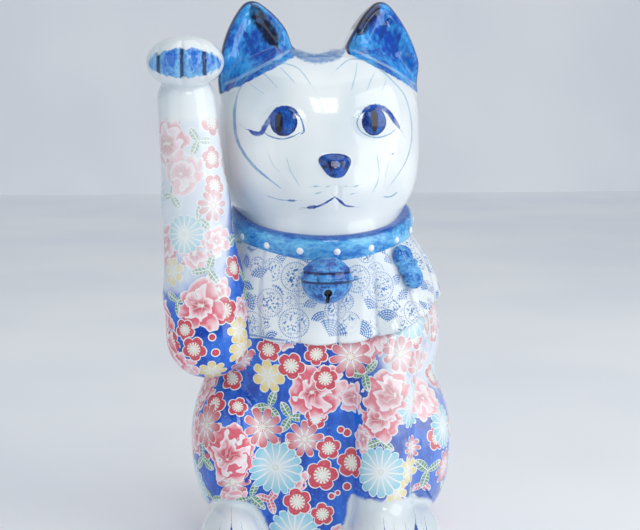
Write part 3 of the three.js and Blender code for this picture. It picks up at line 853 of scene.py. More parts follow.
# %% The kinds of flower
# Petals, depth of the notch between them, size of the core, how clearly the petals are parted,
# colour, and how much the petals pale towards their edge.
KINDS = {
    "plum": (5, 0.26, 0.52, 0.0, RED, 0.0),
    "star": (9, 0.5, 0.22, 1.0, RED, 0.1),
    "daisy": (16, 0.16, 0.12, 1.0, PALE_BLUE, 0.0),
    "peony": (7, 0.22, 0.10, 0.35, ROSE, 1.0),
    "pale_peony": (6, 0.24, 0.10, 0.35, PALE_PINK, 1.0),
    "leaf": (3, 1.25, 0.03, 0.0, LEAF_GREEN, 0.25),
    "yellow": (7, 0.36, 0.16, 1.0, YELLOW, 0.1),
    "petal": (3, 1.0, 0.03, 0.0, ROSE, 0.5),
    "bud": (1, 0.0, 0.05, 0.0, RED, 0.0),
}

# Kind, then across, up and radius in millimetres, as seen from the front. Upper ones come first.
FRONT_FLOWERS = [
    ("plum", -21.5, 80, 5.0), ("plum", -13, 74.5, 5.6), ("plum", -4, 79.5, 4.8),
    ("plum", -34.5, 67.5, 5.2), ("plum", -32.5, 58.5, 4.2), ("plum", 9.5, 38, 6.2),
    ("plum", -2, 33.5, 6.4), ("plum", 1, 43, 5.0), ("plum", -11, 22.5, 5.8), ("plum", -2, 18, 4.8),
    ("star", -23.5, 51, 8.4), ("star", -8, 46.5, 7.6), ("star", 8.5, 78.5, 8.4),
    ("star", 27, 79, 7.4), ("star", -44.5, 50.5, 9.0), ("star", 31, 44, 4.8),
    ("plum", -1, 70.5, 5.2), ("peony", -4.5, 66, 11.5), ("plum", -4.5, 55, 4.6),
    ("daisy", -18.5, 36, 10.8), ("daisy", 19, 36.5, 10.0), ("daisy", -12.5, 10.5, 10.6),
    ("leaf", -21, 59, 7.0), ("leaf", -13.5, 55, 7.0), ("leaf", 13.5, 72, 7.3),
    ("leaf", -28, 24, 7.8), ("leaf", 38, 34, 7.8), ("leaf", -46, 38, 7.8),
    ("yellow", -21.5, 69.5, 6.8), ("yellow", 29.5, 36, 5.8), ("yellow", 25, 29.5, 5.6),
    ("peony", -36.5, 42, 11.4), ("peony", 22, 66, 10.0), ("peony", 19, 56, 8.6),
    ("pale_peony", 36, 60, 9.5), ("petal", 36.5, 28.5, 5.6), ("petal", -21, 22.5, 6.0),
    ("bud", 7.5, 28.5, 1.8), ("bud", 4, 26.5, 1.2), ("bud", 1.5, 25, 1.5), ("bud", 5, 51, 1.6),
    ("bud", 8, 49, 1.8), ("plum", -48.5, 82.5, 5.2), ("plum", -52, 90, 4.4), ("bud", -41.5, 87, 1.6),
    ("bud", -41, 81.5, 1.8), ("peony", -46.5, 99, 9.6), ("daisy", -52, 124, 7.6),
    ("leaf", -43, 112, 6.5), ("star", -41, 134, 6.4), ("pale_peony", -52, 146, 8.4),
    ("pale_peony", -40, 122, 6.0), ("yellow", -56, 110, 5.6), ("leaf", -46, 158, 6.2),
]
SCATTERED = 420
SCATTER_KINDS = ["plum", "star", "peony", "daisy", "leaf", "pale_peony", "yellow", "plum"]
SCATTER_RADII = {"plum": 5.4, "star": 7.8, "peony": 10.5, "daisy": 9.6, "leaf": 7.2}


def turned(side, rise, spin):
    """Two axes that lie in a skin, turned round its normal."""
    cosine, sine = math.cos(spin), math.sin(spin)
    return side * cosine + rise * sine, rise * cosine - side * sine


def front_place(points, normals, x, z):
    """The place on a skin that is seen from the front at x and z."""
    facing = normals[:, 1] < 0
    near = (points[:, 0] - x) ** 2 + (points[:, 2] - z) ** 2 + np.where(facing, 0, 1e6)
    near = near + 0.02 * np.maximum(points[:, 1] + 20, 0) ** 2
    return int(np.argmin(near))


def lay_flowers(points, normals):
    """Every flower: its place, two flat axes, its radius and its kind."""
    chance = np.random.default_rng(7)
    flowers = []
    for kind, x, z, radius in FRONT_FLOWERS:
        flowers.append((front_place(points, normals, x, z), radius, kind))
    tries = chance.permutation(len(points))[: SCATTERED * 12]
    chosen = [index for index, _, _ in flowers]
    for index in tries:
        if len(flowers) >= SCATTERED:
            break
        kind = SCATTER_KINDS[len(flowers) % len(SCATTER_KINDS)]
        radius = SCATTER_RADII.get(kind, 6.5) * chance.uniform(0.85, 1.1)
        gap = reach(points[chosen] - points[index])
        if gap.min() > 0.78 * radius + 2.2 and points[index, 2] > 3:
            flowers.append((int(index), radius, kind))
            chosen.append(int(index))
    laid = []
    for index, radius, kind in flowers:
        normal = normals[index]
        side = np.cross((0.0, 0.0, 1.0), normal)
        side = side / max(np.linalg.norm(side), 1e-6)
        rise = np.cross(normal, side)
        spin = chance.uniform(0, 2 * math.pi)
        laid.append((points[index], normal, turned(side, rise, spin), radius, kind))
    return laid


# %% Each face remembers its flowers
LAYERS = 3


def corner_attribute(mesh, name, kind, values):
    field = mesh.attributes.new(name, kind, "CORNER")
    held = "vector" if kind == "FLOAT_VECTOR" else "color"
    field.data.foreach_set(held, values.reshape(-1).astype(np.float32))


def point_attribute(mesh, name, values):
    field = mesh.attributes.new(name, "FLOAT_VECTOR", "POINT")
    field.data.foreach_set("vector", values.reshape(-1).astype(np.float32))


def geometry_of(piece):
    """Vertices in millimetres, four-sided faces, and the normals of the faces."""
    mesh = piece.data
    points = np.zeros(len(mesh.vertices) * 3)
    mesh.vertices.foreach_get("co", points)
    points = points.reshape(-1, 3) / MM
    faces = np.zeros(len(mesh.loops), int)
    mesh.loops.foreach_get("vertex_index", faces)
    faces = faces.reshape(-1, 4)
    across, along = points[faces[:, 2]] - points[faces[:, 0]], points[faces[:, 3]] - points[faces[:, 1]]
    normals = np.cross(across, along)
    return points, faces, normals / np.maximum(reach(normals), 1e-9)[:, None]


def print_flowers(piece, flowers, kinds):
    points, faces, normals = geometry_of(piece)
    middles = points[faces].mean(1)
    corners = points[faces]
    count = len(faces)
    filled = np.zeros(count, int)
    place = np.full((LAYERS, count, 4, 3), 9.0)
    form = np.ones((LAYERS, count, 4, 4))
    tint = np.ones((LAYERS, count, 4, 4))
    for centre, normal, (side, rise), radius, kind in flowers:
        near = reach(middles - centre) < radius * 1.05 + 1.2
        covered = np.nonzero(near & (normals @ normal > 0.25) & (filled < LAYERS))[0]
        away = corners[covered] - centre
        u, v = away @ side, away @ rise
        stretch = reach(away) / np.maximum(np.sqrt(u * u + v * v), 1e-6)
        layer = filled[covered]
        shares = [u * stretch / radius, v * stretch / radius, np.full(u.shape, radius)]
        place[layer, covered] = np.stack(shares, -1)
        petals, notch, core, parted, colour, pale = kinds[kind]
        form[layer, covered] = (petals, notch, core, parted)
        tint[layer, covered] = (*colour[:3], pale)
        filled[covered] += 1
    for layer in range(LAYERS):
        corner_attribute(piece.data, f"flower_place_{layer}", "FLOAT_VECTOR", place[layer])
        corner_attribute(piece.data, f"flower_form_{layer}", "FLOAT_COLOR", form[layer])
        corner_attribute(piece.data, f"flower_tint_{layer}", "FLOAT_COLOR", tint[layer])


WHITE_WRIST = 166.0
body_flowers = lay_flowers(body_skin[0], body_skin[2])
for name in BODY_PARTS:
    print_flowers(pieces[name], body_flowers, KINDS)
print("flowers laid on the body:", len(body_flowers))

# %% Where the transfer is strong, thin or missing, and where a painted highlight pales it


def transfer_strength_and_highlight(p):
    """1 where the transfer is full, less where it is washed out on the arm and where a painted highlight
    pales it on the right front flank, 0 on the white feet and wrist.
    """
    x, y, z = p[:, 0], p[:, 1], p[:, 2]
    foot = np.full(len(p), 1e3)
    for side in (-1, 1):
        foot = np.minimum(foot, foot_form(p, side))
    foot = np.minimum(foot, ellipsoid(p, (FORELEG_OUT - 1.5, LEG_FRONT - 6, 8.5), (12.5, 17, 13.5)))
    leg = step(-limb(p, (FORELEG_OUT, LEG_FRONT, 0), (FORELEG_OUT, LEG_FRONT, 20), 11, 11), -4, -1)
    shown = step(foot, 0.4, 4.5) * (1 - leg * step(-z, -29, -23))
    arm = step(-p[:, 0], 33, 37) * step(z, 96, 106)
    shown = shown * (1 - arm * step(z, WHITE_WRIST - 5, WHITE_WRIST + 3))
    shown = np.where(z > NECK_HEIGHT + 15, np.where(x < ARM_INSIDE, shown, 0), shown)
    # glare is a painted highlight: the transfer pales on the right front flank, where the broad light from
    # the right falls.
    glare = step(x, 12, 24) * step(-y, -5, 10) * (0.35 + 0.65 * step(z, 48, 66))
    wash = 1 - (0.45 + 0.27 * step(z, 100, 150)) * arm - 0.52 * glare
    return np.stack([shown, wash, z], -1)


for name in BODY_PARTS:
    point_attribute(pieces[name].data, "transfer", transfer_strength_and_highlight(geometry_of(pieces[name])[0]))

# %% [markdown]
# ## Where the brush strokes go
# The painter's lines are drawn freehand in thinned cobalt. Each stroke is a smooth curve through
# a few points in front view. Every face near a stroke keeps the distance to its middle line and
# the stroke's width there, so the line stays fine and sharp however coarse the mesh is.

# %% The strokes on the head
# Points across and up from the head's middle, then width in millimetres and strength of the ink.
HEAD_STROKES = [
    ([(-6.5, 21), (-10.5, 27), (-16, 29), (-22, 28.5), (-26, 26.5), (-30, 22.5), (-32.5, 17.5)], 0.55, 0.25),
    ([(-32.5, 17.5), (-33.6, 12), (-33.6, 6.5), (-32.5, 0), (-27.5, -8), (-18, -16)], 0.95, 0.34),
    ([(3, 26.5), (9.5, 30.5), (17, 29), (24.5, 22.5), (30, 15.5), (32.3, 3.5), (30, -6),
      (23, -15.5)], 0.6, 0.26),
    ([(-24, 26.5), (-21.5, 23.5), (-18.5, 20)], 0.5, 0.2),
    ([(-17, 27.5), (-14.5, 24.5), (-12.5, 22)], 0.5, 0.2),
    ([(-28, 21.5), (-25.5, 19.5), (-23.5, 18)], 0.45, 0.16), ([(11.5, 29), (10, 24.5), (8, 19.5)], 0.5, 0.2),
    ([(17.5, 25.5), (15.5, 22.5), (14, 19.5)], 0.45, 0.18), ([(22, 23), (20.5, 20.5), (19, 18.5)], 0.4, 0.16),
    ([(-22.5, -3), (-21, -7), (-18.5, -10)], 0.35, 0.16), ([(-16, -5), (-14.5, -10), (-11.5, -15)], 0.4, 0.2),
    ([(-23, -19), (-18, -20.3), (-13.5, -20.2)], 0.45, 0.22), ([(-15.4, -20.4), (-13, -20.4)], 0.8, 0.42),
    ([(17, -4), (18, -9.5), (17.5, -13.5), (15.5, -17.5)], 0.42, 0.24),
    ([(22.5, -5.5), (21, -10.5), (20.5, -15.5)], 0.3, 0.13),
    ([(20.5, -19.8), (23.5, -20), (26.5, -18.5)], 0.6, 0.34),
    ([(1, -18.8), (-2, -20.8), (-5, -22.3), (-8.8, -22.9)], 0.75, 0.55),
    ([(-5.6, -22.5), (-8.6, -22.9)], 1.4, 0.8),
    ([(1, -18.8), (3.2, -20.6), (5, -22.1), (8.4, -22.7)], 0.7, 0.5),
    ([(2.2, -19.8), (4.2, -21.5)], 0.95, 0.7),
    ([(-6.8, -15), (-5, -14.9)], 0.5, 0.3), ([(-2.3, -15.2), (-0.9, -14.8)], 0.45, 0.26),
    ([(-5.8, -17.6), (-4.3, -17.2)], 0.5, 0.32), ([(4.3, -15), (5.8, -15)], 0.4, 0.22),
    ([(8.2, -15.2), (9.8, -14.8)], 0.5, 0.32), ([(6.6, -18), (8.2, -17.6)], 0.45, 0.28),
    ([(23.2, -4.2), (24, -3.8)], 0.6, 0.4),
    ([(-28.8, 4.8), (-26.8, 3.7), (-24.6, 4), (-23.4, 6.5), (-21.4, 9.6), (-19, 12.4),
      (-16, 13.2)], 1.7, 0.62),
    ([(-21.8, 9.4), (-19.4, 12.2), (-16.4, 13.1), (-13.6, 12.3), (-11.6, 10.2)], 1.5, 0.8),
    ([(-12.5, 11.4), (-11, 9.5), (-9.8, 5), (-11, 3.6)], 0.65, 0.42),
    ([(-24, 4.4), (-21.5, 2.7), (-17.5, 1.9), (-14, 2.8), (-11, 4.4)], 0.5, 0.42),
    ([(11.5, 11.4), (14.5, 13), (18, 13.3), (21.5, 11.6), (24, 8.6), (26.6, 5.2)], 1.8, 0.6),
    ([(14.5, 12.8), (11.2, 11), (9.5, 8), (10.5, 5), (13.5, 3), (17.5, 2.2), (22, 3.2),
      (25.6, 5.6)], 0.5, 0.36),
    ([(-11.5, 34), (-8, 31.8), (-3.5, 30.6), (2.5, 31.6), (9, 34.4)], 3.6, 0.42),
    ([(-25, 50.5), (-22.5, 45.5), (-20, 41), (-17, 35.5)], 5.4, 1.0),
    ([(23, 51.5), (19.5, 47.5), (16.5, 43.5), (14.2, 40)], 5.4, 1.0),
    ([(27, 46), (23, 38)], 1.8, 0.8), ([(-28.5, 41), (-25, 32.5)], 2.0, 0.7),
    ([(31, 40), (27.5, 32)], 1.6, 0.7),
]

# Points across and up from the ground, for the toes of the three feet on the ground.
FOOT_STROKES = []
for middle_x in (foot_out[1], foot_out[-1], FORELEG_OUT - 1.5):
    for toe in (-1, 0, 1):
        low_end = (middle_x + TOE_SPREAD * toe * 1.1, 2.0)
        high_end = (middle_x + TOE_SPREAD * toe * 0.8, 17.5 - 2.5 * abs(toe))
        FOOT_STROKES.append(([low_end, high_end], 1.7, 0.6))
    for toe in (-0.5, 0.5):
        ends = [(middle_x + TOE_SPREAD * toe, 1.5), (middle_x + TOE_SPREAD * toe, 13.0)]
        FOOT_STROKES.append((ends, 3.0, 0.34))
FOOT_STROKES.append(([(37.5, 26.5), (39, 23.5), (41, 20.5)], 0.9, 0.6))

# %% Each face remembers its strokes
STROKE_STEPS = 30


def stroke_line(points):
    """A smooth line through the points, sampled evenly from end to end."""
    points = np.array(points, float)
    before, after = 2 * points[0] - points[1], 2 * points[-1] - points[-2]
    all_points = np.vstack([before, points, after])
    share = np.linspace(0, len(points) - 1, STROKE_STEPS)
    i = np.minimum(share.astype(int), len(points) - 2)
    t = (share - i)[:, None]
    a, b, c, d = (all_points[i + k] for k in range(4))
    return 0.5 * (2 * b + (c - a) * t + (2 * a - 5 * b + 4 * c - d) * t**2 + (3 * b - a - 3 * c + d) * t**3)


def beside(flat, line):
    """Signed distance from a line, and how far along it, for flat places."""
    start, run = line[:-1], line[1:] - line[:-1]
    away = flat[..., None, :] - start
    along = np.clip((away * run).sum(-1) / (run * run).sum(-1), 0, 1)
    gap = away - along[..., None] * run
    distance = np.sqrt((gap * gap).sum(-1))
    best = distance.argmin(-1)[..., None]
    side = np.sign(run[:, 0] * away[..., 1] - run[:, 1] * away[..., 0])
    signed = np.take_along_axis(distance * np.where(side == 0, 1, side), best, -1)[..., 0]
    share = (best[..., 0] + np.take_along_axis(along, best, -1)[..., 0]) / len(run)
    return signed, share


def brush_strokes(piece, strokes, to_front, ahead):
    """Writes the two nearest strokes to every face: distance, half width and ink."""
    points, faces, normals = geometry_of(piece)
    flat = to_front(points)
    middles = flat[faces].mean(1)
    shown = ahead(points[faces].mean(1), normals)
    order = np.full((len(faces), 2), -1)
    nearest = np.full((len(faces), 2), 1e3)
    for number, (line_points, width, ink) in enumerate(strokes):
        line = stroke_line(line_points)
        low, high = line.min(0) - width - 2, line.max(0) + width + 2
        near = np.nonzero(shown & (middles > low).all(1) & (middles < high).all(1))[0]
        if not len(near):
            continue
        gap = np.abs(beside(middles[near], line)[0]) - width / 2
        first = gap < nearest[near, 0]
        second = ~first & (gap < nearest[near, 1])
        moved = near[first]
        order[moved, 1], nearest[moved, 1] = order[moved, 0], nearest[moved, 0]
        order[moved, 0], nearest[moved, 0] = number, gap[first]
        order[near[second], 1], nearest[near[second], 1] = number, gap[second]
    for layer in range(2):
        values = np.tile(np.array([9.0, 0.0, 0.0]), (len(faces), 4, 1))
        for number, (line_points, width, ink) in enumerate(strokes):
            mine = np.nonzero(order[:, layer] == number)[0]
            if len(mine):
                signed, share = beside(flat[faces[mine]], stroke_line(line_points))
                swell = np.clip(np.minimum(share, 1 - share) * 6, 0, 1) ** 0.6
                half = np.full(share.shape, width / 2) * (0.25 + 0.75 * swell)
                values[mine] = np.stack([signed, half, np.full(share.shape, ink)], -1)
        corner_attribute(piece.data, f"stroke_{layer}", "FLOAT_VECTOR", values)


for name in ("head", "left_ear", "right_ear"):
    brush_strokes(
        pieces[name],
        HEAD_STROKES,
        lambda p: on_head(p)[:, [0, 2]],
        lambda p, n: (n[:, 1] < -0.12) | ((on_head(p)[:, 2] > 30) & (n[:, 1] < 0.3)),
    )
for name in BODY_PARTS:
    brush_strokes(pieces[name], FOOT_STROKES, lambda p: p[:, [0, 2]], lambda p, n: n[:, 1] < 0.2)
print("strokes on the head:", len(HEAD_STROKES), "and on the feet:", len(FOOT_STROKES))

# %% What the painter needs to know about the head
# For the eyes: across and up from the nearer eye's middle, and which eye. For the other places:
# distance to the nose's edge, to the ear's outline and over the ear's fold.
for name in ("head", "left_ear", "right_ear"):
    points, faces, normals = geometry_of(pieces[name])
    q = on_head(points)
    side = np.where(q[faces].mean(1)[:, 0] < 0, -1, 1)
    eye_x = np.where(side < 0, EYES[-1][0], EYES[1][0])[:, None]
    eye_z = np.where(side < 0, EYES[-1][1], EYES[1][1])[:, None]
    corners = q[faces]
    front = np.where(corners[..., 1] < -5, 0, 50)
    which = np.repeat(side[:, None], 4, 1)
    eye = np.stack([corners[..., 0] - eye_x + front, corners[..., 2] - eye_z, which], -1)
    corner_attribute(pieces[name].data, "eye", "FLOAT_VECTOR", eye)
    x, z = np.abs(q[:, 0]), q[:, 2]
    ahead = ear_front(x, z) + 5.5 - q[:, 1]
    nose = np.where(q[:, 1] < -10, nose_edge(q[:, 0], z), 9)
    point_attribute(pieces[name].data, "ear", np.stack([ear_edge(x, z), over_root(x, z), ahead], -1))
    point_attribute(pieces[name].data, "nose", np.stack([nose, z, ahead], -1))

# %% [markdown]
# ## Glazes
# All the finishes share one clear glaze over different painting. Fired glaze is hard and wet
# looking: low roughness, a clear coat, and a slight waviness that makes the window's reflection
# tremble. Cobalt pools where the brush stopped, so every blue is a wash between two tones.

# %% A finish is a short recipe of nodes


class Finish:
    """A material whose nodes are added one line at a time."""

    def __init__(self, name, roughness=0.09):
        self.material = bpy.data.materials.new(name)
        self.material.use_nodes = True
        self.tree = self.material.node_tree
        self.shader = self.tree.nodes["Principled BSDF"]
        self.shader.inputs["Roughness"].default_value = roughness
        self.shader.inputs["Coat Weight"].default_value = 0.25
        self.shader.inputs["Coat Roughness"].default_value = 0.03
        self.shader.inputs["IOR"].default_value = 1.45
        place = self.node("ShaderNodeTexCoord", {}, output=3)
        self.place = self.node("ShaderNodeVectorMath", {0: place, "Scale": 1 / MM}, operation="SCALE")

    def node(self, kind, inputs, output=0, **settings):
        return add(self.tree, kind, inputs, output, **settings)

    def math(self, operation, *values):
        return self.node("ShaderNodeMath", dict(enumerate(values)), operation=operation)

    def plus(self, first, second):
        return self.math("ADD", first, second)

    def minus(self, first, second):
        return self.math("SUBTRACT", first, second)

    def times(self, first, second):
        return self.math("MULTIPLY", first, second)

    def over(self, first, second):
        return self.math("DIVIDE", first, second)

    def unsigned(self, value):
        return self.math("ABSOLUTE", value)

    def away_from(self, middle):
        """The way from a middle, in millimetres, to the place that is shaded."""
        inputs = {0: self.place, 1: tuple(float(c) for c in middle)}
        return self.node("ShaderNodeVectorMath", inputs, operation="SUBTRACT")

    def ease(self, value, low, high, start=0.0, end=1.0):
        """Climbs smoothly from start to end as the value goes from low to high."""
        inputs = {0: value, 1: low, 2: high, 3: start, 4: end}
        return self.node("ShaderNodeMapRange", inputs, interpolation_type="SMOOTHSTEP")

    def blend(self, share, first, second):
        """A number between two others."""
        return self.node("ShaderNodeMix", {0: share, 2: first, 3: second}, data_type="FLOAT")

    def length(self, x, y):
        squares = self.plus(self.times(x, x), self.times(y, y))
        return self.math("SQRT", squares)

    def mix(self, share, first, second):
        return self.node("ShaderNodeMix", {0: share, 6: first, 7: second}, output=2, data_type="RGBA")

    def noise(self, scale, detail=2.0, stretch=None, output=0):
        """Soft clouds; scale is how many there are in a millimetre."""
        place = self.place
        if stretch is not None:
            place = self.node("ShaderNodeVectorMath", {0: place, 1: stretch}, operation="MULTIPLY")
        return self.node("ShaderNodeTexNoise", {"Vector": place, "Scale": scale, "Detail": detail}, output)

    def parts(self, vector):
        node = self.tree.nodes.new("ShaderNodeSeparateXYZ")
        self.tree.links.new(vector, node.inputs[0])
        return node.outputs[0], node.outputs[1], node.outputs[2]

    def kept(self, name):
        """The three numbers that the mesh keeps under a name."""
        return self.parts(self.node("ShaderNodeAttribute", {}, output=1, attribute_name=name))

    def colour_kept(self, name):
        return self.node("ShaderNodeAttribute", {}, attribute_name=name)

    def fourth_kept(self, name):
        return self.node("ShaderNodeAttribute", {}, output=3, attribute_name=name)

    def wash(self, deep, thin, scale=0.16, stretch=None):
        """Brushed cobalt: broad clouds of pigment with fine brush marks in them."""
        broad = self.noise(scale, 3.0, stretch)
        marks = self.noise(scale * 6, 2.0, (1.0, 1.0, 0.35) if stretch is None else stretch)
        both = self.math("MULTIPLY_ADD", marks, 0.35, self.times(broad, 0.65))
        return self.mix(self.ease(both, 0.36, 0.64), deep, thin)

    def finish(self, colour, relief=None, depth=0.0):
        """Joins the colour and a slightly wavy surface to the shader."""
        self.tree.links.new(colour, self.shader.inputs["Base Color"])
        waves = self.times(self.noise(0.09, 1.0), 0.35)
        if relief is not None:
            waves = self.math("MULTIPLY_ADD", relief, depth, waves)
        bump_inputs = {"Height": waves, "Strength": 0.35, "Distance": 0.001}
        bumped = self.node("ShaderNodeBump", bump_inputs)
        self.tree.links.new(bumped, self.shader.inputs["Normal"])
        self.tree.links.new(bumped, self.shader.inputs["Coat Normal"])
        return self.material


def porcelain(f):
    """White glaze with a faint blue cast and a few greyer clouds."""
    return f.mix(f.ease(f.noise(0.03, 2.0), 0.35, 0.7), WHITE, paint(212, 223, 231))


# %% Drawing one flower


def draw_flower(f, layer, ground):
    """Draws the flower that a layer of the transfer holds over what is below it."""
    x, y, radius = f.kept(f"flower_place_{layer}")
    petals, notch, core = f.kept(f"flower_form_{layer}")
    parted = f.fourth_kept(f"flower_form_{layer}")
    tint, pale = f.colour_kept(f"flower_tint_{layer}"), f.fourth_kept(f"flower_tint_{layer}")
    full = f.ease(pale, 0.6, 0.9)
    leaf = f.ease(core, 0.031, 0.039, 1.0, 0.0)
    # Petals drawn by hand are never even, least of all a peony's.
    lean_x, lean_y, _ = f.parts(f.noise(0.2, 1.0, output=1))
    uneven = f.math("MULTIPLY_ADD", full, 0.75, 0.12)
    x = f.math("MULTIPLY_ADD", f.minus(lean_x, 0.5), uneven, x)
    y = f.math("MULTIPLY_ADD", f.minus(lean_y, 0.5), uneven, y)
    away = f.length(x, y)
    away_mm = f.times(away, radius)
    angle = f.math("ARCTAN2", y, x)
    turn = f.times(angle, f.times(petals, 0.5))
    lobe = f.unsigned(f.math("COSINE", turn))
    off_vein = f.unsigned(f.math("SINE", turn))
    rounded = f.math("POWER", f.minus(1.0, lobe), 1.5)
    pointed = f.times(f.math("POWER", off_vein, 1.5), 0.7)
    dip = f.blend(leaf, rounded, pointed)
    wobble = f.math("MULTIPLY_ADD", f.noise(0.5, 1.0), 0.08, 0.93)
    edge = f.times(f.minus(1.0, f.times(dip, notch)), wobble)
    inside_mm = f.times(f.minus(edge, away), radius)
    whole = f.ease(inside_mm, -0.06, 0.08)
    # A peony has a second ring of petals. Each ring pales towards its own edge.
    inner_lobe = f.unsigned(f.math("COSINE", f.plus(turn, 1.2)))
    inner_edge = f.math("MULTIPLY_ADD", inner_lobe, 0.2, 0.42)
    beyond = f.ease(f.minus(away, inner_edge), 0.0, 0.02)
    inner_share = f.over(away, inner_edge)
    outer_width = f.math("MAXIMUM", f.minus(edge, inner_edge), 0.05)
    outer_share = f.over(f.minus(away, inner_edge), outer_width)
    ring_fade = f.ease(f.blend(beyond, inner_share, outer_share), 0.35, 1.0)
    fade = f.blend(full, f.ease(away, 0.35, 1.0), ring_fade)
    petal = f.mix(f.times(fade, pale), tint, paint(250, 226, 232))
    heart = f.times(f.ease(away, 0.12, 0.5, 0.5, 0.0), full)
    petal = f.mix(heart, petal, paint(176, 40, 66))
    centre = f.times(f.ease(away, 0.1, 0.95, 0.75, 0.0), f.blend(full, parted, 0.0))
    petal = f.mix(centre, petal, WHITE)
    petal = f.mix(f.ease(f.noise(1.6, 2.0), 0.5, 0.75, 0.0, 0.16), petal, WHITE)
    ring = f.unsigned(f.times(f.minus(inner_edge, away), radius))
    ring = f.times(f.ease(ring, 0.2, 0.42, 1.0, 0.0), full)
    petal = f.mix(ring, petal, WHITE)
    # White lines between the petals and round the flower.
    gap_mm = f.times(away_mm, f.over(f.times(lobe, 2.0), petals))
    between = f.times(f.ease(gap_mm, 0.16, 0.34, 1.0, 0.0), parted)
    rim = f.ease(inside_mm, 0.36, 0.5, 1.0, 0.0)
    petal = f.mix(f.math("MAXIMUM", between, rim), petal, WHITE)
    # A leaf has a white middle vein, and side veins that slant towards its tip.
    vein_mm = f.times(away_mm, f.over(f.times(off_vein, 2.0), petals))
    slant = f.math("MULTIPLY_ADD", away_mm, 4.5, f.times(off_vein, -6.0))
    side_veins = f.ease(f.math("SINE", slant), 0.5, 0.8, 0.0, 0.7)
    veins = f.math("MAXIMUM", f.ease(vein_mm, 0.12, 0.26, 1.0, 0.0), side_veins)
    petal = f.mix(f.times(veins, leaf), petal, WHITE)
    # The core is a white disc with stamens that end in dots.
    inner = f.over(away, f.math("MAXIMUM", core, 0.02))
    rays = f.ease(f.math("COSINE", f.times(angle, 13.0)), 0.05, 0.6)
    stamens = f.times(rays, f.ease(inner, 0.38, 0.5))
    tips = f.ease(f.unsigned(f.minus(inner, 0.84)), 0.06, 0.14, 1.0, 0.45)
    disc = f.mix(f.times(stamens, tips), paint(236, 238, 228), tint)
    petal = f.mix(f.ease(inner, 0.92, 1.02, 1.0, 0.0), petal, disc)
    return f.mix(whole, ground, petal)


def draw_strokes(f, ground):
    """The painter's lines in thinned cobalt. The broader the brush, the softer its edge."""
    ragged = f.math("MULTIPLY_ADD", f.noise(0.9, 3.0, (1.0, 1.0, 0.4)), 2.6, -1.3)
    for layer in (1, 0):
        signed, half, ink = f.kept(f"stroke_{layer}")
        soft = f.math("MAXIMUM", f.times(half, 0.34), 0.12)
        off = f.over(f.minus(f.unsigned(signed), half), soft)
        cover = f.ease(f.plus(off, ragged), -1.0, 1.0, 1.0, 0.0)
        tone = f.mix(f.ease(ink, 0.28, 0.55), paint(104, 164, 206), paint(14, 72, 164))
        tone = f.mix(f.ease(ink, 0.7, 1.0), tone, paint(4, 14, 54))
        clouds = f.ease(f.noise(0.35, 2.0), 0.25, 0.6, 0.65, 1.0)
        density = f.times(clouds, f.ease(ink, -0.1, 0.5))
        ground = f.mix(f.times(cover, density), ground, tone)
    return ground


# %% The flowered glaze on the body, the arm, the paw and the feet


def flowered_glaze(name):
    f = Finish(name)
    shown, strength, _ = f.kept("transfer")
    ground = f.wash(COBALT, paint(34, 112, 224), 0.07)
    flecks = f.times(f.ease(f.noise(0.9, 3.0), 0.6, 0.7), 0.35)
    colour = f.mix(flecks, ground, SKY)
    # The ground pales where the transfer is washed out on the arm, and under the painted highlight on the
    # right front flank.
    patches = f.plus(strength, f.math("MULTIPLY_ADD", f.noise(0.09, 2.0), 1.0, -0.5))
    colour = f.mix(f.ease(patches, 0.42, 0.75, 0.92, 0.0), colour, paint(216, 228, 242))
    for layer in reversed(range(LAYERS)):
        colour = draw_flower(f, layer, colour)
    # The print fades to white in the same places: washed out on the arm, and a painted highlight on the right
    # front flank.
    colour = f.mix(f.math("MULTIPLY_ADD", strength, -0.75, 0.75), colour, WHITE)
    white = porcelain(f)
    ragged = f.plus(shown, f.math("MULTIPLY_ADD", f.noise(0.4, 3.0), 0.5, -0.25))
    colour = f.mix(f.ease(ragged, 0.25, 0.75), white, colour)
    x, y, z = f.parts(f.place)
    pad_x = f.over(f.minus(x, float(PAW_MIDDLE[0])), 12.9)
    pad_z = f.over(f.minus(z, float(PAW_MIDDLE[2] - 0.4)), 5.3)
    pad = f.length(pad_x, pad_z)
    pad = f.plus(pad, f.math("MULTIPLY_ADD", f.noise(0.55, 3.0, (1.0, 1.0, 0.3)), 0.5, -0.25))
    front = f.ease(y, float(PAW_MIDDLE[1] - 5), float(PAW_MIDDLE[1] - 1), 1.0, 0.0)
    pad = f.times(f.ease(pad, 0.9, 1.04, 1.0, 0.0), front)
    blue = f.wash(paint(36, 104, 206), paint(132, 198, 240), 0.2, (1.0, 1.0, 0.6))
    for groove in PAD_GROOVES:
        off = f.unsigned(f.minus(x, float(PAW_MIDDLE[0] + groove)))
        blue = f.mix(f.ease(off, 0.3, 1.1, 0.9, 0.0), blue, NAVY)
    colour = f.mix(pad, colour, blue)
    return f.finish(draw_strokes(f, colour))


# %% The painted head and ears


